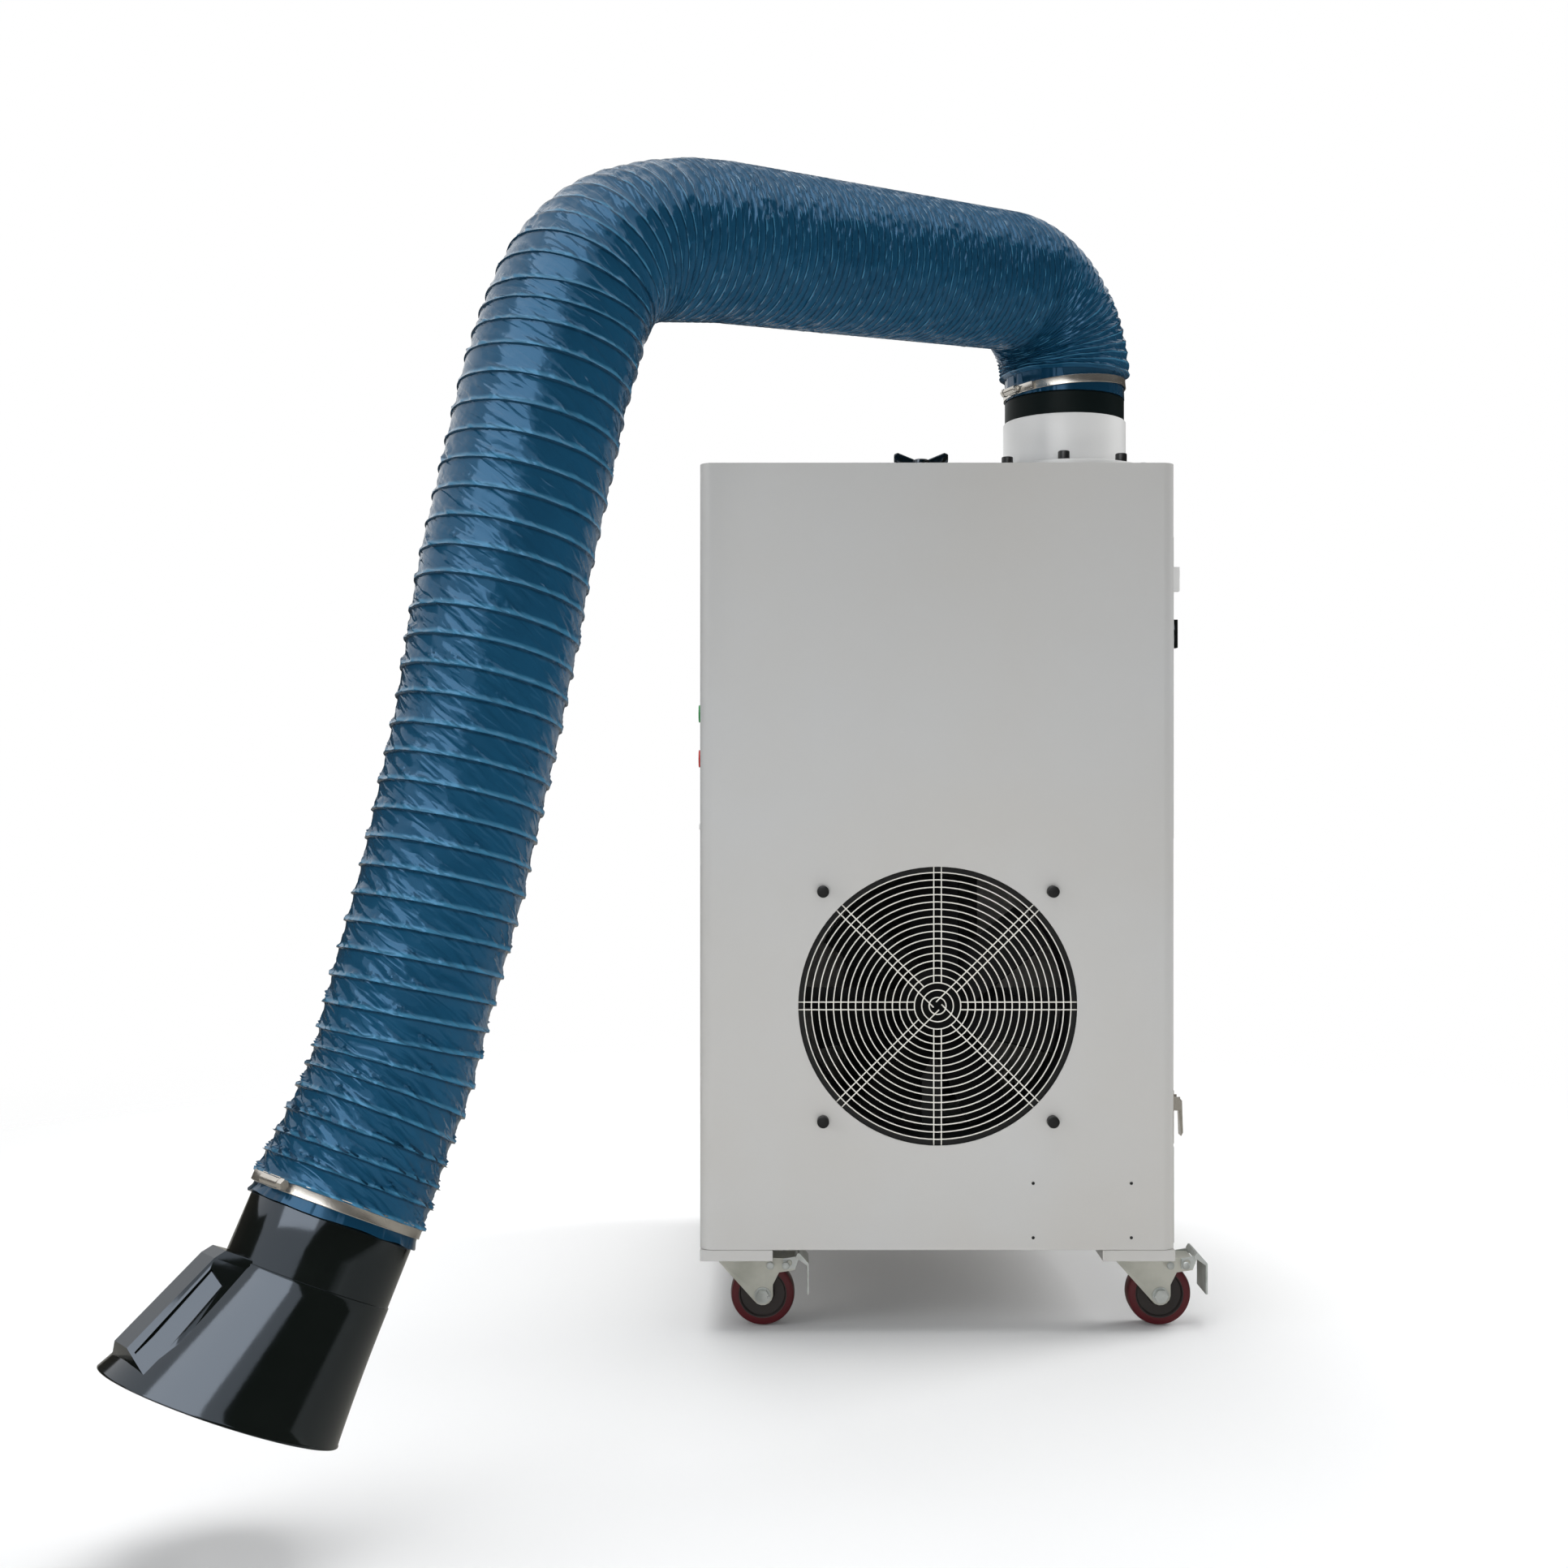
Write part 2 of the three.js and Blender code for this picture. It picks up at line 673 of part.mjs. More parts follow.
// Fan: guard, shroud, impeller, motor and its bracket, in a frame at the middle of the hole
const fanFrame = group(front, 0, fan.height, 0);
const guardBack = -cabinet.sheet - gap - guard.wire;
{
  const disc = circle(guard.rimOuter, 0, 0, sides.hole);
  const pitch = (guard.lastRadius - guard.firstRadius) / (guard.rings - 1);
  const wire = guard.wire / 2;
  const arc = (radius, from, to) =>
    Array.from({ length: guard.stepsPerArc + 1 }, (_, step) => {
      const angle = from + ((to - from) * step) / guard.stepsPerArc;
      return [radius * Math.cos(angle), radius * Math.sin(angle)];
    });
  const halfAngle = (radius) => Math.PI / guard.arms - Math.asin(Math.min(guard.armWidth / 2 / radius, 1));
  const armsMeet = guard.armWidth / 2 / Math.sin(Math.PI / guard.arms);
  for (let step = 0; step < guard.rings; step++) {
    const from = guard.firstRadius + step * pitch + wire;
    const to = step < guard.rings - 1 ? from + pitch - guard.wire : guard.rimInner;
    for (let sector = 0; sector < guard.arms; sector++) {
      const middle = (2 * Math.PI * (sector + 0.5)) / guard.arms;
      const near = halfAngle(from);
      const far = halfAngle(to);
      const apex = arc(armsMeet, middle, middle).slice(0, 1);
      const inward = from > armsMeet ? arc(from, middle - near, middle + near) : apex;
      disc.holes.push(outline([...inward, ...arc(to, middle + far, middle - far)]));
    }
  }
  disc.holes.push(circle(guard.firstRadius - wire, 0, 0, sides.pin));
  piece(fanFrame, "fan_guard", raised(disc, guard.wire, guardBack), paleWire);
}
const shroudFront = guardBack - gap;
const shroudBack = shroudFront - shroud.depth;
{
  const side = shroud.side / 2;
  const plate = outline([
    [-side, -side],
    [side, -side],
    [side, side],
    [-side, side],
  ]);
  plate.holes.push(circle(shroud.ringRadius, 0, 0, sides.wide));
  const reach = fan.boltPitch / 2;
  const root = shroudFront - shroud.sheet / 2;
  const bolts = [-1, 1].flatMap((x) =>
    [-1, 1].flatMap((y) => [
      drum(fan.boltRadius, 2 * gap - root, root, x * reach, y * reach, sides.bolt),
      drum(fan.headRadius, fan.headHeight, gap, x * reach, y * reach, sides.nut),
    ]),
  );
  const body = joined(
    raised(plate, shroud.sheet, shroudFront - shroud.sheet),
    ring(shroud.ringRadius + shroud.ringWall, shroud.ringRadius, shroud.depth, shroudBack),
    ...bolts,
  );
  piece(fanFrame, "fan_shroud", body, blackSteel);
}
const bracketFront = shroudBack - gap;
const motorFront = bracketFront - bracket.thickness - gap;
{
  const reach = 2 * (shroud.ringRadius + shroud.ringWall);
  const lift = bracketFront - bracket.thickness;
  const cross = joined(
    block(reach, bracket.armWidth, bracket.thickness, 0, 0, lift),
    block(bracket.armWidth, reach, bracket.thickness, 0, 0, lift),
    drum(motor.footRadius, bracket.thickness, lift, 0, 0, sides.disc),
  );
  const hole = drum(bracket.holeRadius, bracket.thickness + 2 * overrun, lift - overrun, 0, 0, sides.pin);
  piece(fanFrame, "motor_bracket", cut(cross, hole), blackSteel);

  const can = joined(
    drum(motor.radius, motor.length, motorFront - motor.length, 0, 0, sides.disc),
    drum(motor.footRadius, motor.footThickness, motorFront - motor.footThickness, 0, 0, sides.disc),
  );
  const halfWay = motorFront - motor.length / 2;
  const bore = drum(impeller.shaftRadius + gap, motor.length / 2 + overrun, halfWay, 0, 0, sides.pin);
  piece(fanFrame, "fan_motor", cut(can, bore), blackSteel);
}
{
  const hubFront = shroudFront - impeller.setback;
  const hubBack = hubFront - impeller.hubLength;
  const { bladeThickness, bladeWidth, tipRadius } = impeller;
  const blade = block(bladeThickness, tipRadius, bladeWidth, 0, tipRadius / 2, -bladeWidth / 2)
    .rotateY(radians(90 - impeller.pitch))
    .translate(0, 0, hubBack + impeller.hubLength / 2);
  const blades = Array.from({ length: impeller.blades }, (_, turn) =>
    blade.clone().rotateZ((2 * Math.PI * turn) / impeller.blades),
  );
  const trimmed = joined(...blades).intersect(
    solid(drum(impeller.tipRadius, impeller.hubLength, hubBack, 0, 0, sides.wide)),
  );
  const hub = turned(
    [
      [0, hubBack],
      [impeller.hubRadius, hubBack],
      [impeller.hubRadius, hubFront - impeller.noseDepth],
      [impeller.noseRadius, hubFront],
      [0, hubFront],
    ],
    sides.cap,
  );
  const shaftEnd = motorFront - motor.length / 2 + gap;
  const shaft = drum(impeller.shaftRadius, hubBack - shaftEnd + gap, shaftEnd, 0, 0, sides.bolt);
  piece(fanFrame, "fan_impeller", joined(hub, shaft).add(trimmed), blackPlastic);
}

// Filter door on the right side, its hinge and its latch
const hingeY = doorRear + doorHinge.reach;
const hingeZ = gap + door.thickness - doorHinge.barrelRadius;
{
  const tray = cut(
    solid(block(doorWidth, door.tall, door.thickness, doorPlace.x, doorPlace.y, gap)),
    block(
      doorWidth - 2 * door.sheet,
      door.tall - 2 * door.sheet,
      door.thickness - door.sheet + overrun,
      doorPlace.x,
      doorPlace.y,
      gap - overrun,
    ),
  );
  const segment = doorHinge.knuckleLength;
  const roller = (radius, length, y, count) =>
    new THREE.CylinderGeometry(radius, radius, length, count).translate(hingeY, y, hingeZ);
  const barrel = (y) => roller(doorHinge.barrelRadius, segment, y, sides.pin);
  const pinHole = (y) => roller(doorHinge.pinRadius + gap, segment + 2 * overrun, y, sides.bolt);
  const web = (y) =>
    block(
      doorHinge.reach + door.sheet,
      segment,
      doorHinge.sheet,
      doorRear + doorHinge.reach / 2 - door.sheet / 2,
      y,
      gap + door.thickness - doorHinge.sheet,
    );
  const ends = [-1, 1].map((side) => doorPlace.y + (side * (door.tall - segment)) / 2);
  const lip = block(
    doorLip.width,
    doorLip.tall,
    doorLip.rise + door.sheet / 2,
    doorFront + doorLip.width / 2,
    doorPlace.y + doorLip.above,
    gap + door.thickness - door.sheet / 2,
  );
  const stemHole = drum(
    doorLatch.stem + gap,
    door.thickness + 2 * overrun,
    -overrun,
    doorFront + doorLatch.inset,
    doorPlace.y + doorLatch.above,
    sides.pin,
  );
  const leaf = cut(
    tray
      .add(joined(...ends.map(barrel)))
      .add(joined(...ends.map(web)))
      .add(solid(lip)),
    ...ends.map(pinHole),
    stemHole,
  );
  piece(right, "filter_door", leaf, greyPaint);

  const middle = door.tall - 2 * segment - 4 * gap;
  const fixedLeaf = block(
    doorHinge.leafWidth,
    door.tall,
    doorHinge.sheet,
    hingeY + doorHinge.barrelRadius + doorHinge.leafWidth / 2,
    doorPlace.y,
    gap,
  );
  const bridge = block(
    doorHinge.barrelRadius + overrun,
    middle,
    hingeZ - gap,
    hingeY + doorHinge.barrelRadius / 2 + overrun / 2,
    doorPlace.y,
    gap,
  );
  const knuckle = roller(doorHinge.barrelRadius, middle, doorPlace.y, sides.pin);
  const pin = roller(doorHinge.pinRadius, door.tall - 2 * gap, doorPlace.y, sides.bolt);
  const fixed = joined(fixedLeaf, bridge, knuckle, pin);
  piece(right, "door_hinge", fixed, zinc);

  const handle = joined(
    drum(doorLatch.base, doorLatch.baseHeight, 0, 0, 0, sides.cap),
    block(doorLatch.width, doorLatch.tall, doorLatch.thick, 0, 0, doorLatch.baseHeight),
    drum(doorLatch.stem, door.thickness, -door.thickness + gap, 0, 0, sides.pin),
  );
  piece(right, "door_latch", handle, blackPlastic).position.set(
    doorFront + doorLatch.inset,
    doorPlace.y + doorLatch.above,
    2 * gap + door.thickness,
  );
}

// Dust drawer under the fan, and the toggle latch above its front
{
  const floor = base.thickness + gap;
  const middle = floor + drawer.tall / 2;
  const tub = cut(
    solid(block(drawerWidth, drawer.tall, drawer.length, drawerX, middle, -drawer.length)),
    block(
      drawerWidth - 2 * drawer.sheet,
      drawer.tall + overrun,
      drawer.length - drawer.sheet + overrun,
      drawerX,
      middle + drawer.sheet + overrun / 2,
      drawer.sheet - drawer.length,
    ),
  );
  const frontTall = drawer.tall + drawer.lapTop;
  const frontPlate = block(
    drawerWidth + 2 * drawer.lapSide,
    frontTall,
    drawer.front,
    drawerX,
    floor + frontTall / 2,
    gap,
  );
  const bridgeDepth = gap + drawer.front;
  const bridge = block(drawerWidth - 2 * gap, drawer.tall, bridgeDepth, drawerX, middle, -drawer.front / 2);
  const root = gap + drawer.front / 2;
  const bow = joined(
    block(pull.bar, pull.bar, pull.reach, drawerX - pull.span / 2, middle, root),
    block(pull.bar, pull.bar, pull.reach, drawerX + pull.span / 2, middle, root),
    block(pull.span + pull.bar, pull.bar, pull.bar, drawerX, middle, root + pull.reach - pull.bar),
  );
  const whole = tub.add(solid(bridge)).add(solid(frontPlate)).add(bow);
  piece(right, "dust_drawer", whole, greyPaint);
}
const latchBase = group(right, toggleX, toggle.height, gap);
{
  const acrossX = (radius, length, count) =>
    new THREE.CylinderGeometry(radius, radius, length, count).rotateZ(Math.PI / 2);
  const pinAbove = toggle.pinAbove;
  const plate = block(toggle.width, toggle.tall, toggle.plate, 0, 0, 0);
  const pinZ = toggle.plate + toggle.earRise / 2;
  const earX = (toggle.width - toggle.ear) / 2;
  const ear = (x) => block(toggle.ear, toggle.earTall, toggle.earRise, x, pinAbove, toggle.plate / 2);
  const pin = acrossX(toggle.pinRadius, 2 * earX, sides.bolt).translate(0, pinAbove, pinZ);
  piece(latchBase, "latch_base", joined(plate, ear(-earX), ear(earX), pin), zinc);

  const leverWidth = toggle.width - 2 * toggle.ear - 2 * gap;
  const lift = toggle.earRise / 2 + toggle.eyeRadius / 2;
  const side = outline([
    [-toggle.eyeRadius, 0],
    [toggle.heel, 0],
    [toggle.eyeRadius, lift],
    [toggle.leverTip - toggle.leverReach, lift + toggle.lever / 2],
    [-toggle.leverReach, lift - toggle.lever / 2],
    [-toggle.eyeRadius, lift - toggle.lever],
  ]);
  const blade = raised(side, leverWidth, -leverWidth / 2).rotateZ(Math.PI / 2).rotateY(Math.PI / 2);
  const eye = acrossX(toggle.eyeRadius, leverWidth, sides.pin);
  const hole = acrossX(toggle.pinRadius + gap, toggle.width, sides.bolt);
  piece(latchBase, "drawer_latch", cut(joined(eye, blade), hole), stainless).position.set(0, pinAbove, pinZ);
}

// Control plate on the left side with its lamp and two buttons
{
  const x = panelX;
  const middle = panel.bottom + panel.tall / 2;
  const through = panel.sheet + 2 * overrun;
  const lampHeight = panel.bottom + panel.lampAbove;
  const lamp = drum(panel.lamp, panel.lampRise, gap + panel.sheet / 2, x, lampHeight, sides.bolt);
  const plate = cut(
    joined(block(panel.width, panel.tall, panel.sheet, x, middle, gap), lamp),
    ...buttonHeights.map((y) => drum(button.stem + gap, through, -overrun, x, y, sides.pin)),
  );
  piece(left, "control_plate", plate, blackSteel);
  const cap = (name, height, material) => {
    const body = joined(
      drum(button.radius, button.rise - button.ring, button.ring, 0, 0, sides.cap),
      drum(button.stem, button.stemLength + button.ring, -button.stemLength, 0, 0, sides.pin),
    );
    piece(left, name, body, material).position.set(x, height, 2 * gap + panel.sheet);
  };
  cap("start_button", buttonHeights[0], greenCap);
  cap("stop_button", buttonHeights[1], redCap);
}

// Casters: a painted block under each corner, a zinc fork, its axle, the wheel and the brake pedal
function makeCaster(name, x, y, braked) {
  const frame = group(machine, x, y, 0);
  const plateBottom = bottom - gap - caster.plateThickness;
  const plate = cut(
    solid(block(caster.plate, caster.plate, caster.plateThickness, 0, 0, plateBottom)),
    drum(caster.kingpin + gap, caster.plateThickness + 2 * overrun, plateBottom - overrun, 0, 0, sides.pin),
  );
  piece(frame, `${name}_caster_plate`, plate, greyPaint);

  const swivelTop = plateBottom - gap;
  const crownTop = swivelTop - caster.swivelDepth;
  const crownBottom = crownTop - fork.crown;
  const axleZ = wheel.radius;
  const cheekY = fork.innerWidth / 2 + fork.cheek / 2;
  const width = fork.innerWidth + 2 * fork.cheek;
  const eye = new THREE.Path().absarc(wheel.trail, axleZ, fork.eye, radians(215), radians(355));
  const cheek = outline([
    [-fork.front, crownTop],
    ...eye.getPoints(3).map((point) => [point.x, point.y]),
    [wheel.trail + fork.eye, axleZ + fork.eye],
    [wheel.trail + fork.flare, crownTop - fork.flareDrop],
    [fork.rear, crownTop - fork.drop],
    [fork.rear, crownTop],
  ]);
  cheek.holes.push(circle(axle.radius + gap, wheel.trail, axleZ, sides.bolt));
  const pedalZ = crownTop - pedal.pivotDrop;
  const side = (sign) => acrossY(cheek, fork.cheek).translate(0, sign * cheekY, 0);
  const crownX = (fork.rear - fork.front) / 2;
  const crown = block(fork.front + fork.rear, width, fork.crown, crownX, 0, crownBottom);
  const discBase = crownTop - fork.crown / 2;
  const body = joined(
    side(-1),
    side(1),
    crown,
    drum(caster.swivel, swivelTop - discBase, discBase, 0, 0, sides.pin),
    drum(caster.kingpin, caster.plateThickness + caster.swivelDepth, crownTop, 0, 0, sides.bolt),
    rodAcrossY(fork.rivet, width + 2 * pedal.ear + 4 * gap, pedal.pivotX, pedalZ),
  );
  piece(frame, `${name}_fork`, body, zinc);

  const headY = width / 2 + axle.headHeight / 2 + gap;
  const hexagon = circle(axle.headRadius, wheel.trail, axleZ, sides.nut);
  const head = (sign) => acrossY(hexagon, axle.headHeight).translate(0, sign * headY, 0);
  const shank = rodAcrossY(axle.radius, width + 2 * axle.headHeight + axle.stub, wheel.trail, axleZ);
  const bolt = joined(shank, head(-1), head(1));
  piece(frame, `${name}_axle`, bolt, zinc);

  const rim = wheel.radius;
  const across = wheel.width / 2;
  const hubAcross = wheel.hubWidth / 2;
  const bore = axle.radius + gap;
  const profile = [
    [bore, -hubAcross],
    [wheel.hubRadius, -hubAcross],
    [wheel.hubRadius, wheel.dish - across],
    [wheel.dishRadius, wheel.dish - across],
    [rim - wheel.tread, -across],
    [rim, wheel.shoulder - across],
    [rim, across - wheel.shoulder],
    [rim - wheel.tread, across],
    [wheel.dishRadius, across - wheel.dish],
    [wheel.hubRadius, across - wheel.dish],
    [wheel.hubRadius, hubAcross],
    [bore, hubAcross],
    [bore, -hubAcross],
  ];
  const tyre = turned(profile, sides.cap).rotateX(Math.PI / 2).translate(wheel.trail, 0, axleZ);
  piece(frame, `${name}_wheel`, tyre, wineTread);

  if (!braked) return;
  const sheetTop = swivelTop + pedal.rise;
  const armX = fork.rear + 2 * gap;
  const armTop = crownTop + gap + pedal.sheet;
  const blade = outline([
    [armX, armTop],
    [pedal.topX, sheetTop],
    [pedal.topX + pedal.sheet, sheetTop],
    [pedal.tipX, sheetTop - pedal.bend],
    [pedal.tipX, pedalZ - pedal.drop],
    [pedal.tipX - pedal.sheet, pedalZ - pedal.drop],
    [pedal.tipX - pedal.sheet, sheetTop - pedal.bend - pedal.sheet],
    [pedal.topX, crownTop + gap],
    [armX, crownTop + gap],
  ]);
  const earReach = pedal.earReach;
  const ear = outline([
    [pedal.pivotX - earReach, pedalZ - earReach],
    [pedal.pivotX + earReach, pedalZ - earReach],
    [pedal.topX + pedal.sheet, armTop],
    [armX, armTop],
    [pedal.pivotX - earReach, crownTop],
  ]);
  ear.holes.push(circle(fork.rivet + gap, pedal.pivotX, pedalZ, sides.bolt));
  const earY = width / 2 + gap + pedal.ear / 2;
  const lever = joined(
    acrossY(blade, pedal.width),
    acrossY(ear, pedal.ear).translate(0, earY, 0),
    acrossY(ear, pedal.ear).translate(0, -earY, 0),
  );
  piece(frame, `${name}_brake_pedal`, lever, zinc);
}
const casterX = half.width - caster.inset;
const casterY = half.depth - caster.inset;
makeCaster("front_left", -casterX, -casterY, true);
makeCaster("front_right", casterX, -casterY, true);
makeCaster("rear_left", -casterX, casterY, false);
makeCaster("rear_right", casterX, casterY, false);

// Arm: a plane that stands on the collar, x outwards along the arm and z up
const armFrame = group(machine, collarPlace.x, collarPlace.y, 0);
armFrame.rotation.z = radians(-90 - arm.azimuth);
const swivelBase = collarTop + gap;
const swivelTop = swivelBase + swivel.height;
const shoulder = new THREE.Vector2(0, swivelTop + arm.shoulderRise);
const upperWay = new THREE.Vector2(Math.cos(radians(arm.droop)), -Math.sin(radians(arm.droop)));
const elbow = shoulder.clone().addScaledVector(upperWay, arm.upperLength);
const lowerWay = new THREE.Vector2(Math.sin(radians(arm.lean)), -Math.cos(radians(arm.lean)));
const wrist = elbow.clone().addScaledVector(lowerWay, arm.lowerLength);
const hoodWay = new THREE.Vector2(Math.sin(radians(arm.hoodTilt)), -Math.cos(radians(arm.hoodTilt)));
const upWay = new THREE.Vector2(0, 1);

// Swivel ring: the black bearing sleeve that turns in the collar and carries the hose and the fork
{
  const spigotTop = swivelTop + swivel.spigot;
  const sleeveRadius = toFlats(collar.radius - collar.wall, sides.wide) - gap;
  const bore = swivel.spigotRadius - swivel.wall;
  const sleeve = turned(
    [
      [bore, swivelBase - swivel.sleeve],
      [sleeveRadius, swivelBase - swivel.sleeve],
      [sleeveRadius, swivelBase],
      [swivel.radius, swivelBase],
      [swivel.radius, swivelTop],
      [swivel.spigotRadius, swivelTop],
      [swivel.spigotRadius, spigotTop],
      [bore, spigotTop],
      [bore, swivelBase - swivel.sleeve],
    ],
    sides.disc,
  );
  piece(armFrame, "swivel_ring", sleeve, blackPlastic);
}

// Two cheeks with round eyes, which stand on a foot and take the end of a link between them
const cheekGap = bar.thickness / 2 + gap;
function cheekPair(baseHeight, eyeHeight) {
  const reach = bar.tall / 2;
  const way = Math.sign(eyeHeight - baseHeight);
  const shape = new THREE.Shape();
  shape.moveTo(-reach, baseHeight);
  shape.lineTo(reach, baseHeight);
  shape.absarc(0, eyeHeight, reach, 0, way * Math.PI, way < 0);
  shape.holes.push(circle(bar.pinRadius + gap, 0, eyeHeight, sides.pin));
  const offset = cheekGap + bar.cheek / 2;
  return [-1, 1].map((side) => acrossY(shape, bar.cheek).translate(0, side * offset, 0));
}
function footStrip(radius, height) {
  const strip = block(bar.footWidth, 2 * radius, bar.foot, 0, 0, height);
  return solid(drum(radius, bar.foot, height)).intersect(solid(strip));
}

// Shoulder fork inside the hose
{
  const footBase = swivelBase + bar.foot;
  const foot = footStrip(swivel.spigotRadius - swivel.wall - gap, footBase);
  piece(armFrame, "shoulder_fork", joined(...cheekPair(footBase, shoulder.y)).add(foot), zinc);
}

function makePin(name, place) {
  const reach = cheekGap + bar.cheek + gap;
  const head = (side) =>
    acrossY(circle(bar.pinHead, place.x, place.y, sides.pin), bar.pinHeadHeight).translate(
      0,
      side * (reach + bar.pinHeadHeight / 2),
      0,
    );
  const shank = rodAcrossY(bar.pinRadius, 2 * reach + bar.pinHeadHeight, place.x, place.y, sides.pin);
  piece(armFrame, name, joined(shank, head(-1), head(1)), zinc);
}
makePin("shoulder_pin", shoulder);
makePin("elbow_pin", elbow);
makePin("wrist_pin", wrist);

// A flat bar between two pins, with round ends
function barShape(from, to) {
  const way = to.clone().sub(from).normalize();
  const turn = Math.atan2(way.y, way.x);
  const shape = new THREE.Shape();
  shape.absarc(from.x, from.y, bar.tall / 2, turn + Math.PI / 2, turn + 1.5 * Math.PI);
  shape.absarc(to.x, to.y, bar.tall / 2, turn - Math.PI / 2, turn + Math.PI / 2);
  shape.holes.push(...[from, to].map((end) => circle(bar.pinRadius + gap, end.x, end.y, sides.pin)));
  return shape;
}
piece(armFrame, "upper_link", acrossY(barShape(shoulder, elbow), bar.thickness), aluminium);
{
  const start = elbow.clone().addScaledVector(lowerWay, bar.clear);
  const end = elbow.clone().addScaledVector(lowerWay, bar.cheekLength);
  const core = barShape(start, wrist);
  core.holes.shift();
  const cheek = barShape(elbow, end);
  cheek.holes.pop();
  const packing = barShape(start, end);
  packing.holes.length = 0;
  const plate = cheekGap + bar.cheek / 2;
  const link = joined(
    acrossY(core, bar.thickness),
    acrossY(packing, 2 * cheekGap + bar.cheek),
    acrossY(cheek, bar.cheek).translate(0, plate, 0),
    acrossY(cheek, bar.cheek).translate(0, -plate, 0),
  );
  piece(armFrame, "lower_link", link, aluminium);
}

// Hose: a blue ribbed skin in five lengths, of which the three at the joints bend with the arm
function bend(path, corner, from, to, radius) {
  const turn = Math.atan2(from.x * to.y - from.y * to.x, from.dot(to));
  const side = Math.sign(turn);
  const reach = radius * Math.tan(Math.abs(turn) / 2);
  const start = corner.clone().addScaledVector(from, -reach);
  const centre = new THREE.Vector2(start.x - side * from.y * radius, start.y + side * from.x * radius);
  const first = Math.atan2(start.y - centre.y, start.x - centre.x);
  path.absarc(centre.x, centre.y, radius, first, first + turn, turn < 0);
  return path;
}
const bendReach = (from, to, radius) => radius * Math.tan(Math.acos(from.dot(to)) / 2);
const shoulderReach = bendReach(upWay, upperWay, hose.shoulderBend);
const elbowReach = bendReach(upperWay, lowerWay, hose.elbowBend);
const wristReach = bendReach(lowerWay, hoodWay, hose.wristBend);

function hoseRing(path, at, radius) {
  const share = Math.min(Math.max(at, 0), 1);
  const point = path.getPoint(share);
  const ahead = path.getPoint(Math.min(share + 0.001, 1));
  const behind = path.getPoint(Math.max(share - 0.001, 0));
  const way = ahead.sub(behind).normalize();
  return Array.from({ length: hose.sides }, (_, corner) => {
    const angle = (2 * Math.PI * (corner + 0.5)) / hose.sides;
    const out = radius * Math.cos(angle);
    return new THREE.Vector3(point.x + way.y * out, radius * Math.sin(angle), point.y - way.x * out);
  });
}

// Rings from end to end outside, and back through the bore. A cuff is a ribless end of its own length.
// A hose that turns has its bore's rings at the ends and the middle of the turn.
function makeHose(name, path, pitch, { cuffStart = 0, cuffEnd = 0, turnShares } = {}) {
  const length = path.getLength();
  const from = cuffStart / length;
  const to = 1 - cuffEnd / length;
  const ribs = Math.round(((to - from) * length) / pitch);
  const rings = [];
  if (cuffStart) rings.push(hoseRing(path, 0, hose.cuffRadius));
  rings.push(hoseRing(path, from, cuffStart ? hose.cuffRadius : hose.valleyRadius));
  for (let rib = 0; rib < ribs; rib++) {
    const valley = cuffEnd && rib === ribs - 1 ? hose.cuffRadius : hose.valleyRadius;
    rings.push(hoseRing(path, from + ((rib + 0.5) / ribs) * (to - from), hose.crestRadius));
    rings.push(hoseRing(path, from + ((rib + 1) / ribs) * (to - from), valley));
  }
  if (cuffEnd) rings.push(hoseRing(path, 1, hose.cuffRadius));
  const boreRings = Math.ceil(ribs / hose.ribsPerBoreRing);
  const shares = turnShares ?? Array.from({ length: boreRings + 1 }, (_, step) => step / boreRings);
  shares.reverse().forEach((share) => rings.push(hoseRing(path, share, hose.boreRadius)));
  piece(armFrame, name, skin(rings, true), blueHose);
}
const along = (from, way, distance) => from.clone().addScaledVector(way, distance);
{
  const path = new THREE.Path([new THREE.Vector2(0, swivelTop + gap)]);
  const bendStart = shoulder.y - shoulderReach;
  path.lineTo(0, bendStart);
  bend(path, shoulder, upWay, upperWay, hose.shoulderBend);
  const straight = (bendStart - swivelTop - gap) / path.getLength();
  makeHose("hose_shoulder", path, hose.tightPitch, {
    cuffStart: hose.cuffLength,
    turnShares: [0, straight, (1 + straight) / 2, 1],
  });
}
{
  const from = along(shoulder, upperWay, shoulderReach + gap);
  const to = along(elbow, upperWay, -elbowReach - gap);
  makeHose("hose_upper", new THREE.Path([from, to]), hose.tightPitch);
}
makeHose("hose_elbow", bend(new THREE.Path(), elbow, upperWay, lowerWay, hose.elbowBend), hose.elbowPitch);
{
  const from = along(elbow, lowerWay, elbowReach + gap);
  const to = along(wrist, lowerWay, -wristReach - gap);
  makeHose("hose_lower", new THREE.Path([from, to]), hose.loosePitch);
}
const hoodBase = along(wrist, hoodWay, hood.fromWrist);
{
  const path = bend(new THREE.Path(), wrist, lowerWay, hoodWay, hose.wristBend);
  const end = along(hoodBase, hoodWay, -gap);
  path.lineTo(end.x, end.y);
  makeHose("hose_wrist", path, hose.wristPitch, { cuffEnd: hose.cuffLength });
}

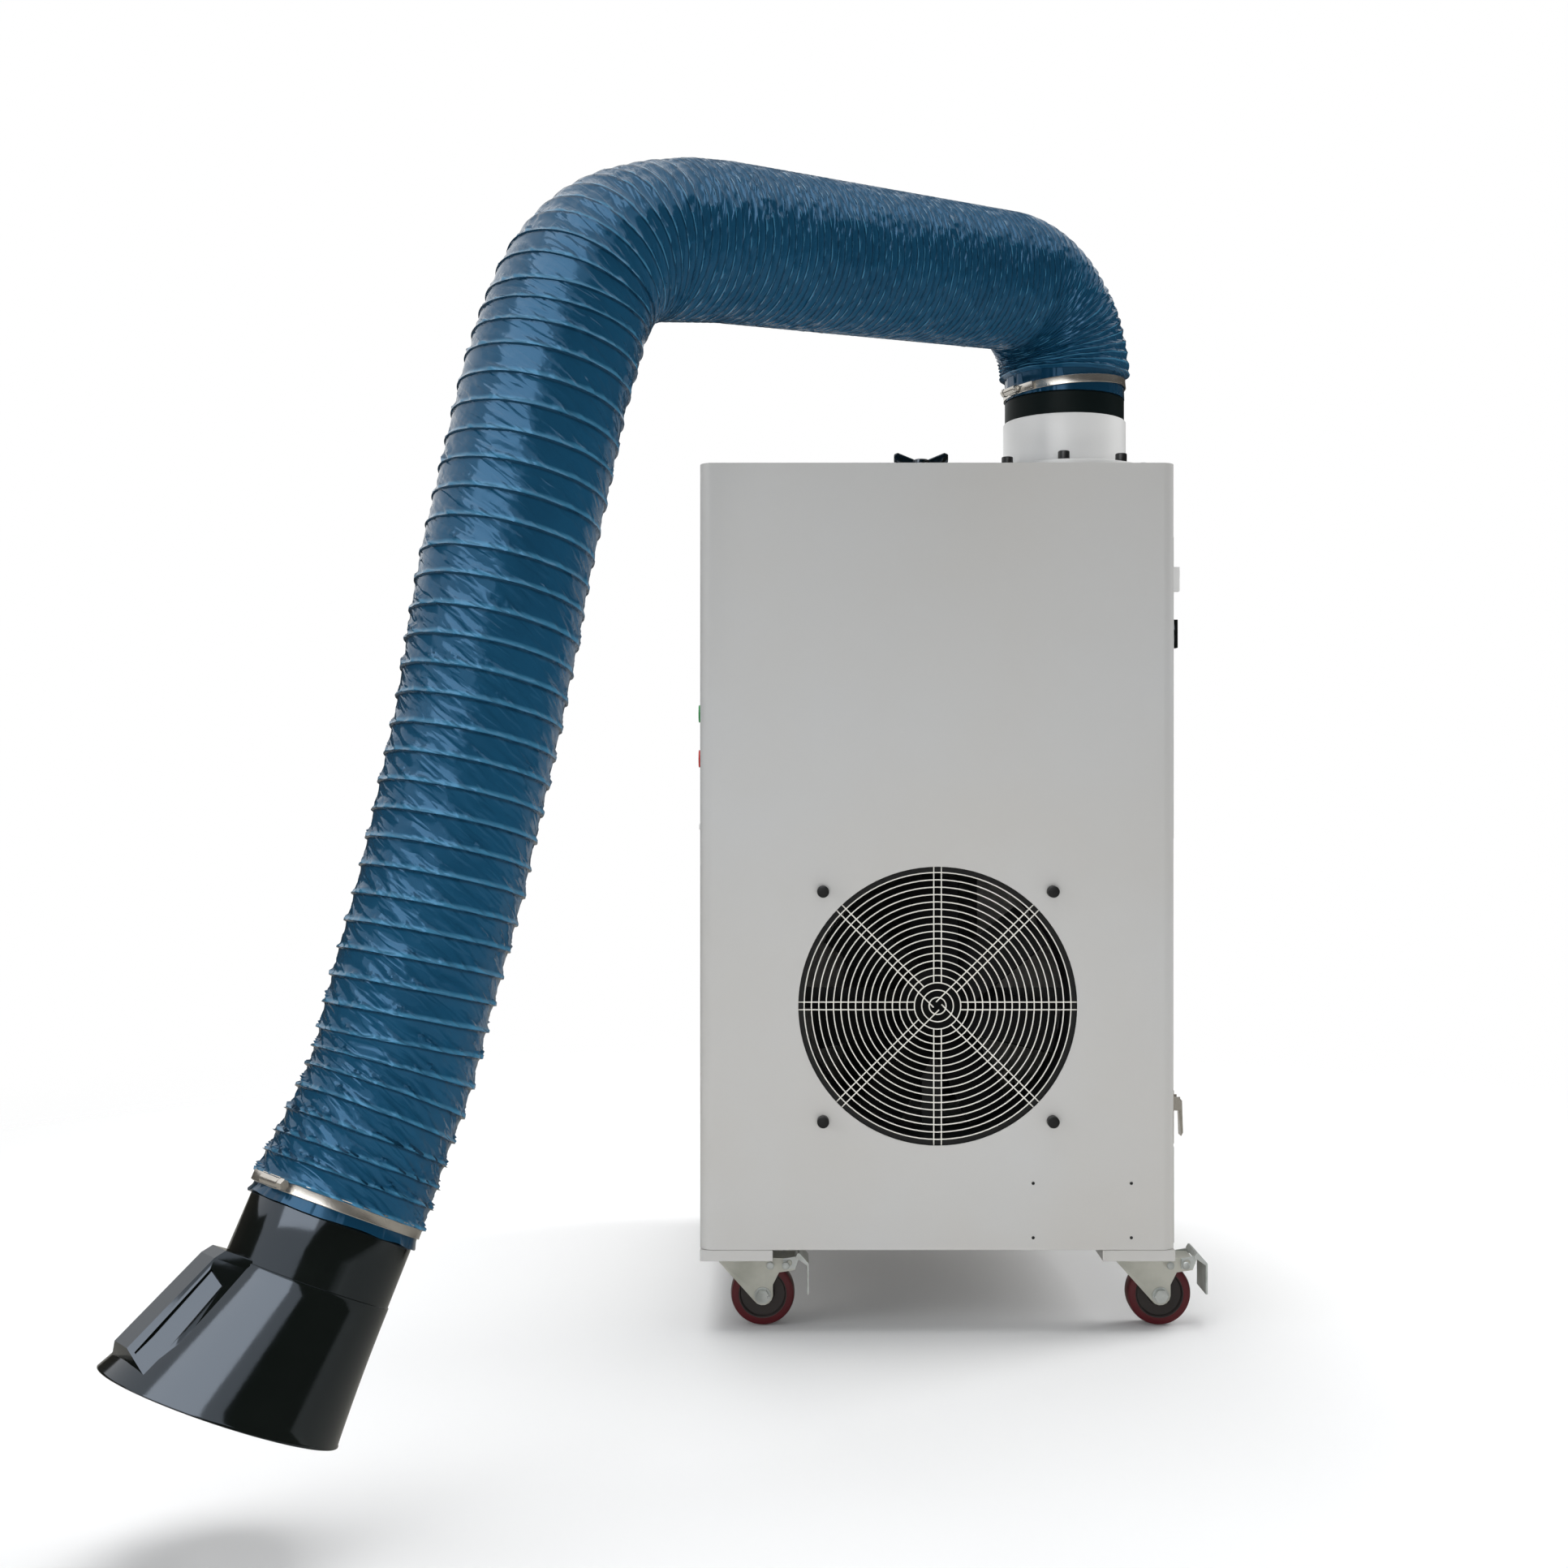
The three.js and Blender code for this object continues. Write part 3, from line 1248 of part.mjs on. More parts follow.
// Hose clamps: a stainless band with its worm screw
function makeClamp(name, place, way, turn) {
  const inside = (hose.cuffRadius + gap) / toFlats(1, sides.disc);
  const band = ring(inside + clamp.thickness, inside, clamp.height, -clamp.height / 2, sides.disc);
  const screw = block(clamp.screwSide, clamp.screwLength, clamp.height, 0, 0, -clamp.height / 2)
    .translate(inside + clamp.screwSide / 2 + gap, 0, 0)
    .rotateZ(radians(turn));
  const mesh = piece(armFrame, name, joined(band, screw), stainless);
  mesh.position.set(place.x, 0, place.y);
  mesh.rotation.y = Math.atan2(way.x, way.y);
}
makeClamp("base_clamp", new THREE.Vector2(0, swivelTop + gap + clamp.fromEnd), upWay, clamp.baseTurn);
makeClamp("hood_clamp", along(hoodBase, hoodWay, -clamp.fromEnd - gap), hoodWay, clamp.hoodTurn);

// Hood: a black cone with a neck, drawn outwards at its rim, and a grip box on its outer side
const hoodFrame = group(armFrame, hoodBase.x, 0, hoodBase.y);
hoodFrame.rotation.y = Math.atan2(hoodWay.x, hoodWay.y);
{
  const circlePoints = (height, radius, offset) =>
    Array.from({ length: sides.disc }, (_, corner) => {
      const angle = (2 * Math.PI * corner) / sides.disc;
      return new THREE.Vector3(radius * Math.cos(angle) - offset, radius * Math.sin(angle), height);
    });
  const flareEnd = hood.neckLength + hood.flare;
  const bore = swivel.spigotRadius - swivel.wall;
  const outer = skin([
    circlePoints(-hood.spigot, swivel.spigotRadius, 0),
    circlePoints(0, swivel.spigotRadius, 0),
    circlePoints(0, hood.neckRadius, 0),
    circlePoints(hood.neckLength, hood.neckRadius, 0),
    circlePoints(flareEnd, hood.rimRadius, hood.offset),
  ]);
  const slope = (hood.rimRadius - hood.neckRadius) / hood.flare;
  const past = hood.rimRadius - hood.wall + slope * overrun;
  const space = skin([
    circlePoints(-hood.spigot - overrun, bore, 0),
    circlePoints(hood.neckLength, bore, 0),
    circlePoints(flareEnd + overrun, past, hood.offset + (hood.offset / hood.flare) * overrun),
  ]);
  // The grip: a ridge with a narrow top and sloping sides, and a window pressed into each side
  const share = (height) => Math.max(height - hood.neckLength, 0) / hood.flare;
  const radiusAt = (height) => hood.neckRadius + (hood.rimRadius - hood.neckRadius) * share(height);
  const middleAt = (height) => -hood.offset * share(height);
  const half = grip.width / 2;
  const spread = radians(grip.spread);
  const edge = ({ along: height, rise }) =>
    new THREE.Vector3(middleAt(height) - radiusAt(height) - rise, half, height);
  const foot = (height, radius) =>
    new THREE.Vector3(middleAt(height) - radius * Math.cos(spread), radius * Math.sin(spread), height);
  const mirrored = (point) => new THREE.Vector3(point.x, -point.y, point.z);
  const ridge = skin(
    grip.stations.map((station) => {
      const [top, low] = [edge(station), foot(station.along, radiusAt(station.along) - grip.sink)];
      return [top, mirrored(top), mirrored(low), low];
    }),
  );
  const [, first, last] = grip.stations;
  const onSide = ({ along: height, footShare }, out) => {
    const way = (height - first.along) / (last.along - first.along);
    const top = edge(first).lerp(edge(last), way).setZ(height);
    const place = top.lerp(foot(height, radiusAt(height)), footShare);
    return place.setY(place.y + out);
  };
  const window = skin([-grip.recess, overrun].map((out) => grip.window.map((corner) => onSide(corner, out))));
  const other = window.clone().scale(1, -1, 1);
  other.setIndex(Array.from(other.index.array).reverse());
  const box = solid(ridge).subtract(solid(window)).subtract(solid(other));
  piece(hoodFrame, "hood", solid(outer).add(box).subtract(solid(space)), blackPlastic);
}

// Hood bracket: a foot across the neck and two cheeks up to the wrist pin
{
  const footBase = bar.foot - hood.spigot;
  const foot = footStrip(swivel.spigotRadius - swivel.wall - gap, footBase - bar.foot / 2);
  piece(hoodFrame, "hood_bracket", joined(...cheekPair(footBase, -hood.fromWrist)).add(foot), zinc);
}

export default extractor;
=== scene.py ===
import json
import math

import bmesh
import bpy
from mathutils import Matrix, Vector, noise

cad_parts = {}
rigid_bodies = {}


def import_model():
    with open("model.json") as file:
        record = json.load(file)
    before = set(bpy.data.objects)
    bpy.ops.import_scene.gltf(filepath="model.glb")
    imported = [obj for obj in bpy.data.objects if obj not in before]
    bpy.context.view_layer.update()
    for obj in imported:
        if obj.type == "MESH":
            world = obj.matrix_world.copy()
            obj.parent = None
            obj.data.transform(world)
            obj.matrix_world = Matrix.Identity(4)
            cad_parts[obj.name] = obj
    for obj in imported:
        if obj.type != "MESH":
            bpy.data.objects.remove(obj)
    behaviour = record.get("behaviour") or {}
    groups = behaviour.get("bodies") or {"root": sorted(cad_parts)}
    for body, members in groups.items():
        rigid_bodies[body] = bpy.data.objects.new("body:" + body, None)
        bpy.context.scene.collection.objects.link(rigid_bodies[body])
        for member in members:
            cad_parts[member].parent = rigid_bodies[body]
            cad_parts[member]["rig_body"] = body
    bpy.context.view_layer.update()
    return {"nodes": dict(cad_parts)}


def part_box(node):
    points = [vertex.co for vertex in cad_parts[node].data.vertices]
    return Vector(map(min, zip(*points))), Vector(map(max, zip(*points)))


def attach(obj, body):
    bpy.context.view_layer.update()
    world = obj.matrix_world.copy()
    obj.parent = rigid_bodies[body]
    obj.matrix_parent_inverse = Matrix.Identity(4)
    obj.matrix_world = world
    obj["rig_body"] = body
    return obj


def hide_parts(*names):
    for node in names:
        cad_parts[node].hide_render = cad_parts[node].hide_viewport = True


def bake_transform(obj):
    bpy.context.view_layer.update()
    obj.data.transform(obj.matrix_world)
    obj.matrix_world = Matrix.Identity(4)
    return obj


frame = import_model()

# Places: the cabinet's sides in millimetres, from which the other places are counted.
MM = 0.001
(LEFT, FRONT, FLOOR_GAP), (RIGHT, BACK, TOP) = [[side / MM for side in corner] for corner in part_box("cabinet_shell")]
MIDDLE, DEPTH_MIDDLE = (LEFT + RIGHT) / 2, (FRONT + BACK) / 2

# Camera: a level camera before the cabinet, a little to its left and at half of its height. Its focal
# length is given in pixels of a picture as wide as the photograph.
PICTURE, FOCAL, SENSOR = 1932, 2135, 36
CAMERA_ASIDE, CAMERA_BACK, CAMERA_HEIGHT = 177.5, 2275, 635
camera = bpy.data.objects.new("camera", bpy.data.cameras.new("camera"))
bpy.context.scene.collection.objects.link(camera)
camera.data.sensor_width = SENSOR
camera.data.lens = SENSOR * FOCAL / PICTURE
camera.data.clip_end = 100
camera_at = Vector((MIDDLE - CAMERA_ASIDE, DEPTH_MIDDLE - CAMERA_BACK, CAMERA_HEIGHT)) * MM
camera.matrix_world = Matrix.Translation(camera_at) @ Matrix.Rotation(math.pi / 2, 4, "X")
bpy.context.scene.camera = camera
bpy.context.scene.view_settings.view_transform = "Standard"


# Cabinet: painted sheet steel, folded round the front with soft vertical edges and open at the back. Its
# openings are punched, and four small black rivets hold the drawer rail behind the front.
class Field:
    """A value that varies over a surface. Sums and products of Fields are written as plain arithmetic."""

    def __init__(self, finish, socket):
        self.finish, self.socket = finish, socket

    def maths(self, operation, *values):
        return self.finish.add("Math", {"operation": operation}, dict(enumerate(values)))

    def __add__(self, other):
        return self.maths("ADD", self, other)

    def __sub__(self, other):
        return self.maths("SUBTRACT", self, other)

    def __mul__(self, other):
        return self.maths("MULTIPLY", self, other)

    __radd__, __rmul__ = __add__, __mul__


def chip(red, green, blue):
    """A colour as a screen shows it, 0 to 255, turned into the light that it stands for."""
    light = [((v / 255 + 0.055) / 1.055) ** 2.4 if v > 10 else v / 255 / 12.92 for v in (red, green, blue)]
    return (*light, 1)


class Finish:
    """A material of one Principled shader, with its varying inputs."""

    def __init__(self, name, color, roughness, metallic=0.0, **fixed):
        self.slot = name
        self.material = bpy.data.materials.new(name + "_finish")
        self.material.use_nodes = True
        self.tree = self.material.node_tree
        self.shader = self.tree.nodes["Principled BSDF"].inputs
        self.color = chip(*color)
        self.feed(self.shader["Base Color"], self.color)
        self.feed(self.shader["Roughness"], roughness)
        self.feed(self.shader["Metallic"], metallic)
        for socket, value in fixed.items():
            self.shader[socket.replace("_", " ")].default_value = value

    def feed(self, socket, value):
        if isinstance(value, Field):
            self.tree.links.new(value.socket, socket)
        else:
            socket.default_value = value

    def add(self, kind, settings, sockets, out=0):
        node = self.tree.nodes.new("ShaderNode" + kind)
        for setting, value in settings.items():
            if setting == "stops":
                while len(node.color_ramp.elements) < len(value):
                    node.color_ramp.elements.new(0.5)
                for element, (place, shade) in zip(node.color_ramp.elements, value):
                    element.position, element.color = place, (shade, shade, shade, 1)
            else:
                setattr(node, setting, value)
        for socket, value in sockets.items():
            self.feed(node.inputs[socket], value)
        return Field(self, node.outputs[out])

    def place(self, **mapping):
        return self.add("Mapping", {}, {"Vector": self.add("TexCoord", {}, {}, "Object"), **mapping})

    def grain(self, scale, detail=3.0, **mapping):
        return self.add("TexNoise", {}, {"Vector": self.place(**mapping), "Scale": scale, "Detail": detail})

    def ramp(self, value, *stops):
        return self.add("ValToRGB", {"stops": stops}, {"Fac": value})

    def along(self, axis):
        return self.add("SeparateXYZ", {}, {0: self.add("TexCoord", {}, {}, "Object")}, axis)

    def tint(self, share, over):
        self.color = self.add("Mix", {"data_type": "RGBA"}, {0: share, 6: self.color, 7: chip(*over)}, 2)
        self.feed(self.shader["Base Color"], self.color)
        return self

    def rough(self, value):
        self.feed(self.shader["Roughness"], value)
        return self

    def bump(self, height, strength, distance):
        sockets = {"Strength": strength, "Distance": distance, "Height": height}
        self.feed(self.shader["Normal"], self.add("Bump", {}, sockets))
        return self


def powder_coat(name, color, dusty, roughness=0.42):
    """Baked paint: a fine orange peel, faint clouds and a little dust low down."""
    coat = Finish(name, color, roughness)
    coat.tint(coat.ramp(coat.grain(2.2, 4.0), (0.35, 0.0), (0.75, 0.5)), dusty)
    low = coat.ramp(coat.along("Z"), (0.1, 0.35), (0.75, 0.0))
    coat.tint(low * coat.grain(9.0), dusty)
    coat.rough(roughness - 0.06 + 0.12 * coat.grain(30.0))
    return coat.bump(coat.grain(520.0, 2.0), 0.12, 0.0006)


def piece(name, shape, finish, smooth=35.0, body=None, stands_for=(), bevel=0.0):
    """A finished piece from a shape: normals put right, soft edges, its finish, its body and its nodes."""
    bmesh.ops.recalc_face_normals(shape, faces=shape.faces)
    mesh = bpy.data.meshes.new(name)
    shape.to_mesh(mesh)
    shape.free()
    mesh.shade_smooth()
    mesh.set_sharp_from_angle(angle=math.radians(smooth))
    mesh.materials.append(finish.material)
    made = bpy.data.objects.new(name, mesh)
    bpy.context.scene.collection.objects.link(made)
    if bevel:
        round_edges(made, bevel)
    if body:
        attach(made, body)
    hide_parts(*stands_for)
    return made


def apply_modifiers(made):
    whole = bpy.data.meshes.new_from_object(made.evaluated_get(bpy.context.evaluated_depsgraph_get()))
    made.modifiers.clear()
    made.data = whole


def round_edges(made, width, segments=2, angle=40):
    """Rounds the edges that turn by more than an angle, in degrees."""
    soft = made.modifiers.new("edges", "BEVEL")
    soft.width, soft.segments, soft.limit_method, soft.angle_limit = width, segments, "ANGLE", math.radians(angle)
    soft.harden_normals = True
    apply_modifiers(made)


def combine(made, operation, *shapes):
    """Joins shapes to a piece, or cuts them out of it."""
    for shape in shapes:
        tool = piece("tool", shape, grey_paint)
        step = made.modifiers.new("step", "BOOLEAN")
        step.operation, step.solver, step.object = operation, "EXACT", tool
        apply_modifiers(made)
        bpy.data.objects.remove(tool)


def turned(profile, steps=64, at=Matrix(), closed=False):
    """A shape turned round an upright axis from radius and height pairs, in millimetres."""
    shape = bmesh.new()
    points = [shape.verts.new((radius * MM, 0, height * MM)) for radius, height in profile]
    lines = [shape.edges.new(pair) for pair in zip(points, points[1:] + points[:1] * closed)]
    bmesh.ops.spin(shape, geom=points + lines, axis=(0, 0, 1), angle=2 * math.pi, steps=steps, use_merge=True)
    bmesh.ops.remove_doubles(shape, verts=shape.verts, dist=1e-6)
    bmesh.ops.transform(shape, matrix=at, verts=shape.verts)
    return shape


def block(size, at=(0, 0, 0), ease=0.0, steps=2, place=Matrix()):
    """A box of a size around a middle, in millimetres, with its edges eased."""
    shape = bmesh.new()
    bmesh.ops.create_cube(shape, size=MM)
    bmesh.ops.scale(shape, vec=size, verts=shape.verts)
    if ease:
        bmesh.ops.bevel(
            shape, geom=shape.edges, offset=ease * MM, segments=steps, affect="EDGES", profile=0.5, material=-1
        )
    bmesh.ops.translate(shape, vec=Vector(at) * MM, verts=shape.verts)
    bmesh.ops.transform(shape, matrix=place, verts=shape.verts)
    return shape


def together(*shapes):
    whole = bmesh.new()
    for shape in shapes:
        mesh = bpy.data.meshes.new("part")
        shape.to_mesh(mesh)
        shape.free()
        whole.from_mesh(mesh)
        bpy.data.meshes.remove(mesh)
    return whole


def spot(x, y, z, turn=0.0, axis="X"):
    return Matrix.Translation((x * MM, y * MM, z * MM)) @ Matrix.Rotation(math.radians(turn), 4, axis)


def plug(radius, steps, at):
    """A disc that cuts a round hole through a sheet."""
    return turned([(0, -20), (radius, -20), (radius, 20), (0, 20)], steps, at)


SHEET, EDGE, CUT_EDGE = 1.5, 15, 0.4
FAN_Z, FAN_HOLE = 378.5, 161
DOOR, DOOR_AT, LAP = (400, 360), (DEPTH_MIDDLE - 5, 750), 16
DRAWER, DRAWER_AT = (431.2, 93.2), (DEPTH_MIDDLE - 20, 146.6)
STEM_HOLE, BUTTONS_AT, BUTTON_HEIGHTS = 6.3, DEPTH_MIDDLE - 75, (724, 667)
RIVETS_ASIDE, RIVET_HEIGHTS = (110.1, 223.4), (174.1, 111.3)
grey_paint = powder_coat("grey_paint", (181, 181, 180), (176, 171, 163))
shell = block((RIGHT - LEFT, BACK - FRONT, TOP - FLOOR_GAP), (MIDDLE, DEPTH_MIDDLE, (FLOOR_GAP + TOP) / 2))
uprights = [
    edge for edge in shell.edges
    if all(vert.co.y < FRONT * MM + 0.001 for vert in edge.verts)
    and abs(edge.verts[0].co.z - edge.verts[1].co.z) > 0.5
]
bmesh.ops.bevel(shell, geom=uprights, offset=EDGE * MM, segments=12, affect="EDGES", profile=0.5, material=-1)
open_sides = [face for face in shell.faces if abs(face.normal.z) > 0.9 or face.normal.y > 0.9]
bmesh.ops.delete(shell, geom=open_sides, context="FACES")
cabinet = piece("cabinet_walls", shell, grey_paint, body="cabinet", stands_for=["cabinet_shell"])
wall = cabinet.modifiers.new("wall", "SOLIDIFY")
wall.thickness, wall.offset = SHEET * MM, -1
apply_modifiers(cabinet)
combine(
    cabinet, "DIFFERENCE",
    plug(FAN_HOLE, 96, spot(MIDDLE, FRONT, FAN_Z, 90)),
    block((20, DOOR[0] - 2 * LAP, DOOR[1] - 2 * LAP), (RIGHT, *DOOR_AT)),
    block((20, *DRAWER), (RIGHT, *DRAWER_AT)),
    *[plug(STEM_HOLE, 24, spot(LEFT, BUTTONS_AT, height, 90, "Y")) for height in BUTTON_HEIGHTS],
)
round_edges(cabinet, CUT_EDGE * MM)
black_steel = powder_coat("black_steel", (17, 18, 19), (30, 30, 31), 0.4)
rivet = [(0, 1.2), (1, 1), (1.8, 0.4), (2, -0.6), (0, -0.6)]
rivets = [
    turned(rivet, 20, spot(MIDDLE + aside, FRONT, height, 90)) for aside in RIVETS_ASIDE for height in RIVET_HEIGHTS
]
piece("rail_rivets", together(*rivets), black_steel, body="cabinet")


# Lid, base and rear panel: folded sheets between the walls, in the cabinet's paint. Each comes from the imported
# solid; the lid and
#  the rear panel have their cut edges eased as a press leaves them.
def eased(node, finish, width):
    """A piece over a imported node: its mesh merged into flat faces, with its edges rounded."""
    source = frame["nodes"][node]
    shape = bmesh.new()
    shape.from_mesh(source.data)
    bmesh.ops.remove_doubles(shape, verts=shape.verts, dist=2e-5)
    bmesh.ops.dissolve_limit(shape, angle_limit=0.01, verts=shape.verts, edges=shape.edges)
    return piece(node + "_skin", shape, finish, 35, source["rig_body"], [node], width * MM)


def dress(finish, *nodes):
    """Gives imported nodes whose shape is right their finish."""
    for node in nodes:
        frame["nodes"][node].material_slots[0].material = finish.material


dress(grey_paint, "base_plate")
eased("top_cover", grey_paint, 0.5)
eased("rear_panel", grey_paint, 0.5)


# Cable gland: a moulded screw fitting in the base plate, where the mains lead would come in. Its two nuts
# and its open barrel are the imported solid.
def moulded(name, color, scuff, roughness=0.25, **fixed):
    """Plastic, cloth or paper with faint flow marks and scuffs."""
    plastic = Finish(name, color, roughness, **fixed)
    plastic.tint(plastic.ramp(plastic.grain(14.0, 6.0), (0.45, 0.0), (0.8, 0.6)), scuff)
    plastic.rough(roughness - 0.05 + 0.12 * plastic.grain(40.0, 6.0))
    return plastic.bump(plastic.grain(240.0), 0.05, 0.0004)


black_plastic = moulded(
    "black_plastic", (9, 13, 11), (14, 18, 15), 0.1, Specular_IOR_Level=0.9, Specular_Tint=chip(222, 236, 255)
)
eased("cable_gland", black_plastic, 0.6)

# Collar: the white duct stub with its flange on the lid, held by eight black bolts. The tube is rolled
# sheet, so its rim is plain and its flange has a soft edge.
COLLAR_X, COLLAR_Y, LID, FLANGE_TOP = MIDDLE + 170, DEPTH_MIDDLE - 125, 1006.3, 1019.8
BOLTS, BOLT_CIRCLE, BOLT_TURN = 8, 95.5, -99.4
pale_paint = powder_coat("pale_paint", (224, 224, 223), (208, 206, 203), 0.3)
stub = [
    (72, LID), (72, 1079.8), (72.6, 1080.5), (74.4, 1080.5), (75, 1079.8), (75, FLANGE_TOP + 1.5),
    (75.5, FLANGE_TOP + 0.4), (76.6, FLANGE_TOP), (103.4, FLANGE_TOP), (104.5, FLANGE_TOP - 0.5),
    (105, FLANGE_TOP - 1.6), (105, LID),
]
piece(
    "collar_tube", turned(stub, 128, spot(COLLAR_X, COLLAR_Y, 0), closed=True), pale_paint, 30, "cabinet", ["collar"]
)
head = [(0, 10), (5.6, 10), (6.5, 9.6), (6.9, 8.8), (6.9, 0), (4, 0), (4, -20), (0, -20)]
bolts = []
for count in range(BOLTS):
    angle = math.radians(360 / BOLTS * count + BOLT_TURN)
    x, y = COLLAR_X + BOLT_CIRCLE * math.cos(angle), COLLAR_Y + BOLT_CIRCLE * math.sin(angle)
    bolts.append(turned(head, 32, spot(x, y, FLANGE_TOP + 0.3)))
piece("collar_bolt_heads", together(*bolts), black_steel, 30, "cabinet", ["collar_bolts"])

# Wing knob: glossy moulded plastic on the filter rod, a turned hub on a wide foot with two wings that rise
# to rounded tips.
WING_ROOT, WING_SPAN = 6, 29
knob_at = spot(MIDDLE, DEPTH_MIDDLE - 30, LID)
hub = turned(
    [(6.3, 0), (17, 0), (18, 1), (18, 4.3), (17, 5.3), (13.5, 5.8), (12, 8), (11.6, 44), (10.8, 47.5), (9, 48.8),
     (0.5, 49.2), (0.5, 44), (6.3, 44)], 48, knob_at, closed=True,
)
wings = []
for side in (-1, 1):
    wing = block((1, 1, 1))
    bmesh.ops.subdivide_edges(wing, edges=wing.edges, cuts=5, use_grid_fill=True)
    for vert in wing.verts:
        out, rise = max(vert.co.x / MM + 0.5, 0), vert.co.z / MM + 0.5
        top = 47.5 + 12 * out - 3.5 * (max(out - 0.8, 0) / 0.2) ** 2
        low = 8 + 38 * out ** 1.4
        thick = (10 - 2.5 * out) * (1 - 0.35 * abs(rise - 0.5) * 2)
        vert.co = Vector((WING_ROOT + WING_SPAN * out, vert.co.y / MM * thick, low + (top - low) * rise)) * MM
    bmesh.ops.bevel(
        wing, geom=[edge for edge in wing.edges if edge.calc_face_angle(0) > 0.8], offset=1.6 * MM, segments=3,
        affect="EDGES", profile=0.5, material=-1,
    )
    bmesh.ops.transform(wing, matrix=knob_at @ Matrix.Diagonal((side, 1, 1, 1)), verts=wing.verts)
    wings.append(wing)
piece("wing_knob_moulding", together(hub, *wings), black_plastic, 40, "wing_knob", ["wing_knob"])


# Filter door, drawer and their latches: folded and painted sheet on the right wall, with a bright hinge, a
# black turn latch and a plated toggle latch.
def plating(name, color, stain, roughness=0.3, scale=60.0, metallic=1.0, stretch=(1, 1, 1)):
    """Bare or plated metal: fine rolling lines, small stains and a varying gloss."""
    metal = Finish(name, color, roughness, metallic)
    metal.tint(metal.ramp(metal.grain(scale / 3, 5.0), (0.4, 0.0), (0.7, 0.8)), stain)
    metal.rough(roughness - 0.08 + 0.2 * metal.grain(scale))
    return metal.bump(metal.grain(scale * 6, 4.0, Scale=stretch), 0.15, 0.0003)


zinc = plating("zinc", (205, 205, 196), (168, 170, 160), 0.4, metallic=0.6)
stainless = plating("stainless", (214, 210, 203), (186, 180, 170), 0.2, 90.0, 0.9, stretch=(1, 1, 12))
eased("filter_door", pale_paint, 1.2)
eased("dust_drawer", grey_paint, 0.7)
eased("door_hinge", zinc, 0.4)
eased("door_latch", black_plastic, 1.2)
eased("latch_base", stainless, 0.4)
eased("drawer_latch", stainless, 0.3)

# Control plate: a folded plate on the left wall with a lamp above two press buttons, the upper one green
# and the lower one red. It is bare of words.
green_cap = moulded("green_cap", (38, 140, 72), (30, 110, 60))
red_cap = moulded("red_cap", (188, 34, 28), (150, 30, 28))
eased("control_plate", pale_paint, 0.4)
eased("start_button", green_cap, 0.8)
eased("stop_button", red_cap, 0.8)

# Fan guard: pale wire rings welded on pairs of spokes behind the round hole. Along the diagonals one wire
# of each pair runs on to the middle, as the blades of a toy windmill do.
WIRE, GUARD_Y, RINGS, FIRST_RING, RING_STEP = 0.74, FRONT + 3, 18, 9.8, 8.5
SPOKES, SPOKE_GAP, SPOKE_START, SPOKE_END, MIDDLE_START = 8, 4.4, 26.5, 166, 2
pale_wire = powder_coat("pale_wire", (226, 224, 216), (205, 201, 190), 0.35)


def wire_ring(radius):
    shape = bmesh.new()
    at = Matrix.Translation((radius * MM, 0, 0)) @ Matrix.Rotation(math.pi / 2, 4, "X")
    loop = bmesh.ops.create_circle(shape, segments=8, radius=WIRE * MM, matrix=at)["verts"]
    steps = 96 if radius > 60 else 56
    bmesh.ops.spin(
        shape, geom=loop + shape.edges[:], axis=(0, 0, 1), angle=2 * math.pi, steps=steps, use_merge=True
    )
    bmesh.ops.remove_doubles(shape, verts=shape.verts, dist=1e-6)
    bmesh.ops.transform(shape, matrix=spot(MIDDLE, GUARD_Y, FAN_Z, 90), verts=shape.verts)
    return shape


def rod(start, end, radius, sides=12):
    """A round rod between two points, in millimetres, with a slightly rounded end."""
    start, way = Vector(start) * MM, (Vector(end) - Vector(start)) * MM
    length = way.length / MM
    lip = radius * 0.25
    profile = [(0, 0), (radius - lip, 0), (radius, lip), (radius, length - lip), (radius - lip, length), (0, length)]
    return turned(profile, sides, Matrix.Translation(start) @ way.to_track_quat("Z", "Y").to_matrix().to_4x4())


wires = [wire_ring(FIRST_RING + RING_STEP * count) for count in range(RINGS)]
for count in range(SPOKES):
    angle = math.radians(360 / SPOKES * count)
    way, side = Vector((math.cos(angle), 0, math.sin(angle))), Vector((-math.sin(angle), 0, math.cos(angle)))
    for offset in (-SPOKE_GAP, SPOKE_GAP):
        runs_on = count % 2 and offset > 0
        middle = Vector((MIDDLE, GUARD_Y, FAN_Z)) + side * offset
        start = MIDDLE_START if runs_on else SPOKE_START
        wires.append(rod(middle + way * start, middle + way * SPOKE_END, WIRE, 8))
rim = turned([(164, -1), (172, -1), (172, 1), (164, 1)], 96, spot(MIDDLE, GUARD_Y, FAN_Z, 90), closed=True)
piece("fan_guard_wires", together(rim, *wires), pale_wire, 50, "cabinet", ["fan_guard"])

# Fan: the pressed shroud, the impeller on its motor and the bracket behind it, all dark in the duct. Four
# black bolts through the front hold them.
FAN_BOLT = 132.5
eased("fan_shroud", black_steel, 0)
fan_bolts = [
    turned(head[:6] + [(0, 0)], 32, spot(MIDDLE + side * FAN_BOLT, FRONT - 0.1, FAN_Z + rise * FAN_BOLT, 90))
    for side in (-1, 1) for rise in (-1, 1)
]
piece("fan_bolt_heads", together(*fan_bolts), black_steel, 30, "cabinet")
dull_black = moulded("dull_black", (9, 9, 10), (14, 14, 15), 0.6, Specular_IOR_Level=0.15)
dress(dull_black, "fan_impeller", "fan_motor")
dress(black_steel, "motor_bracket")

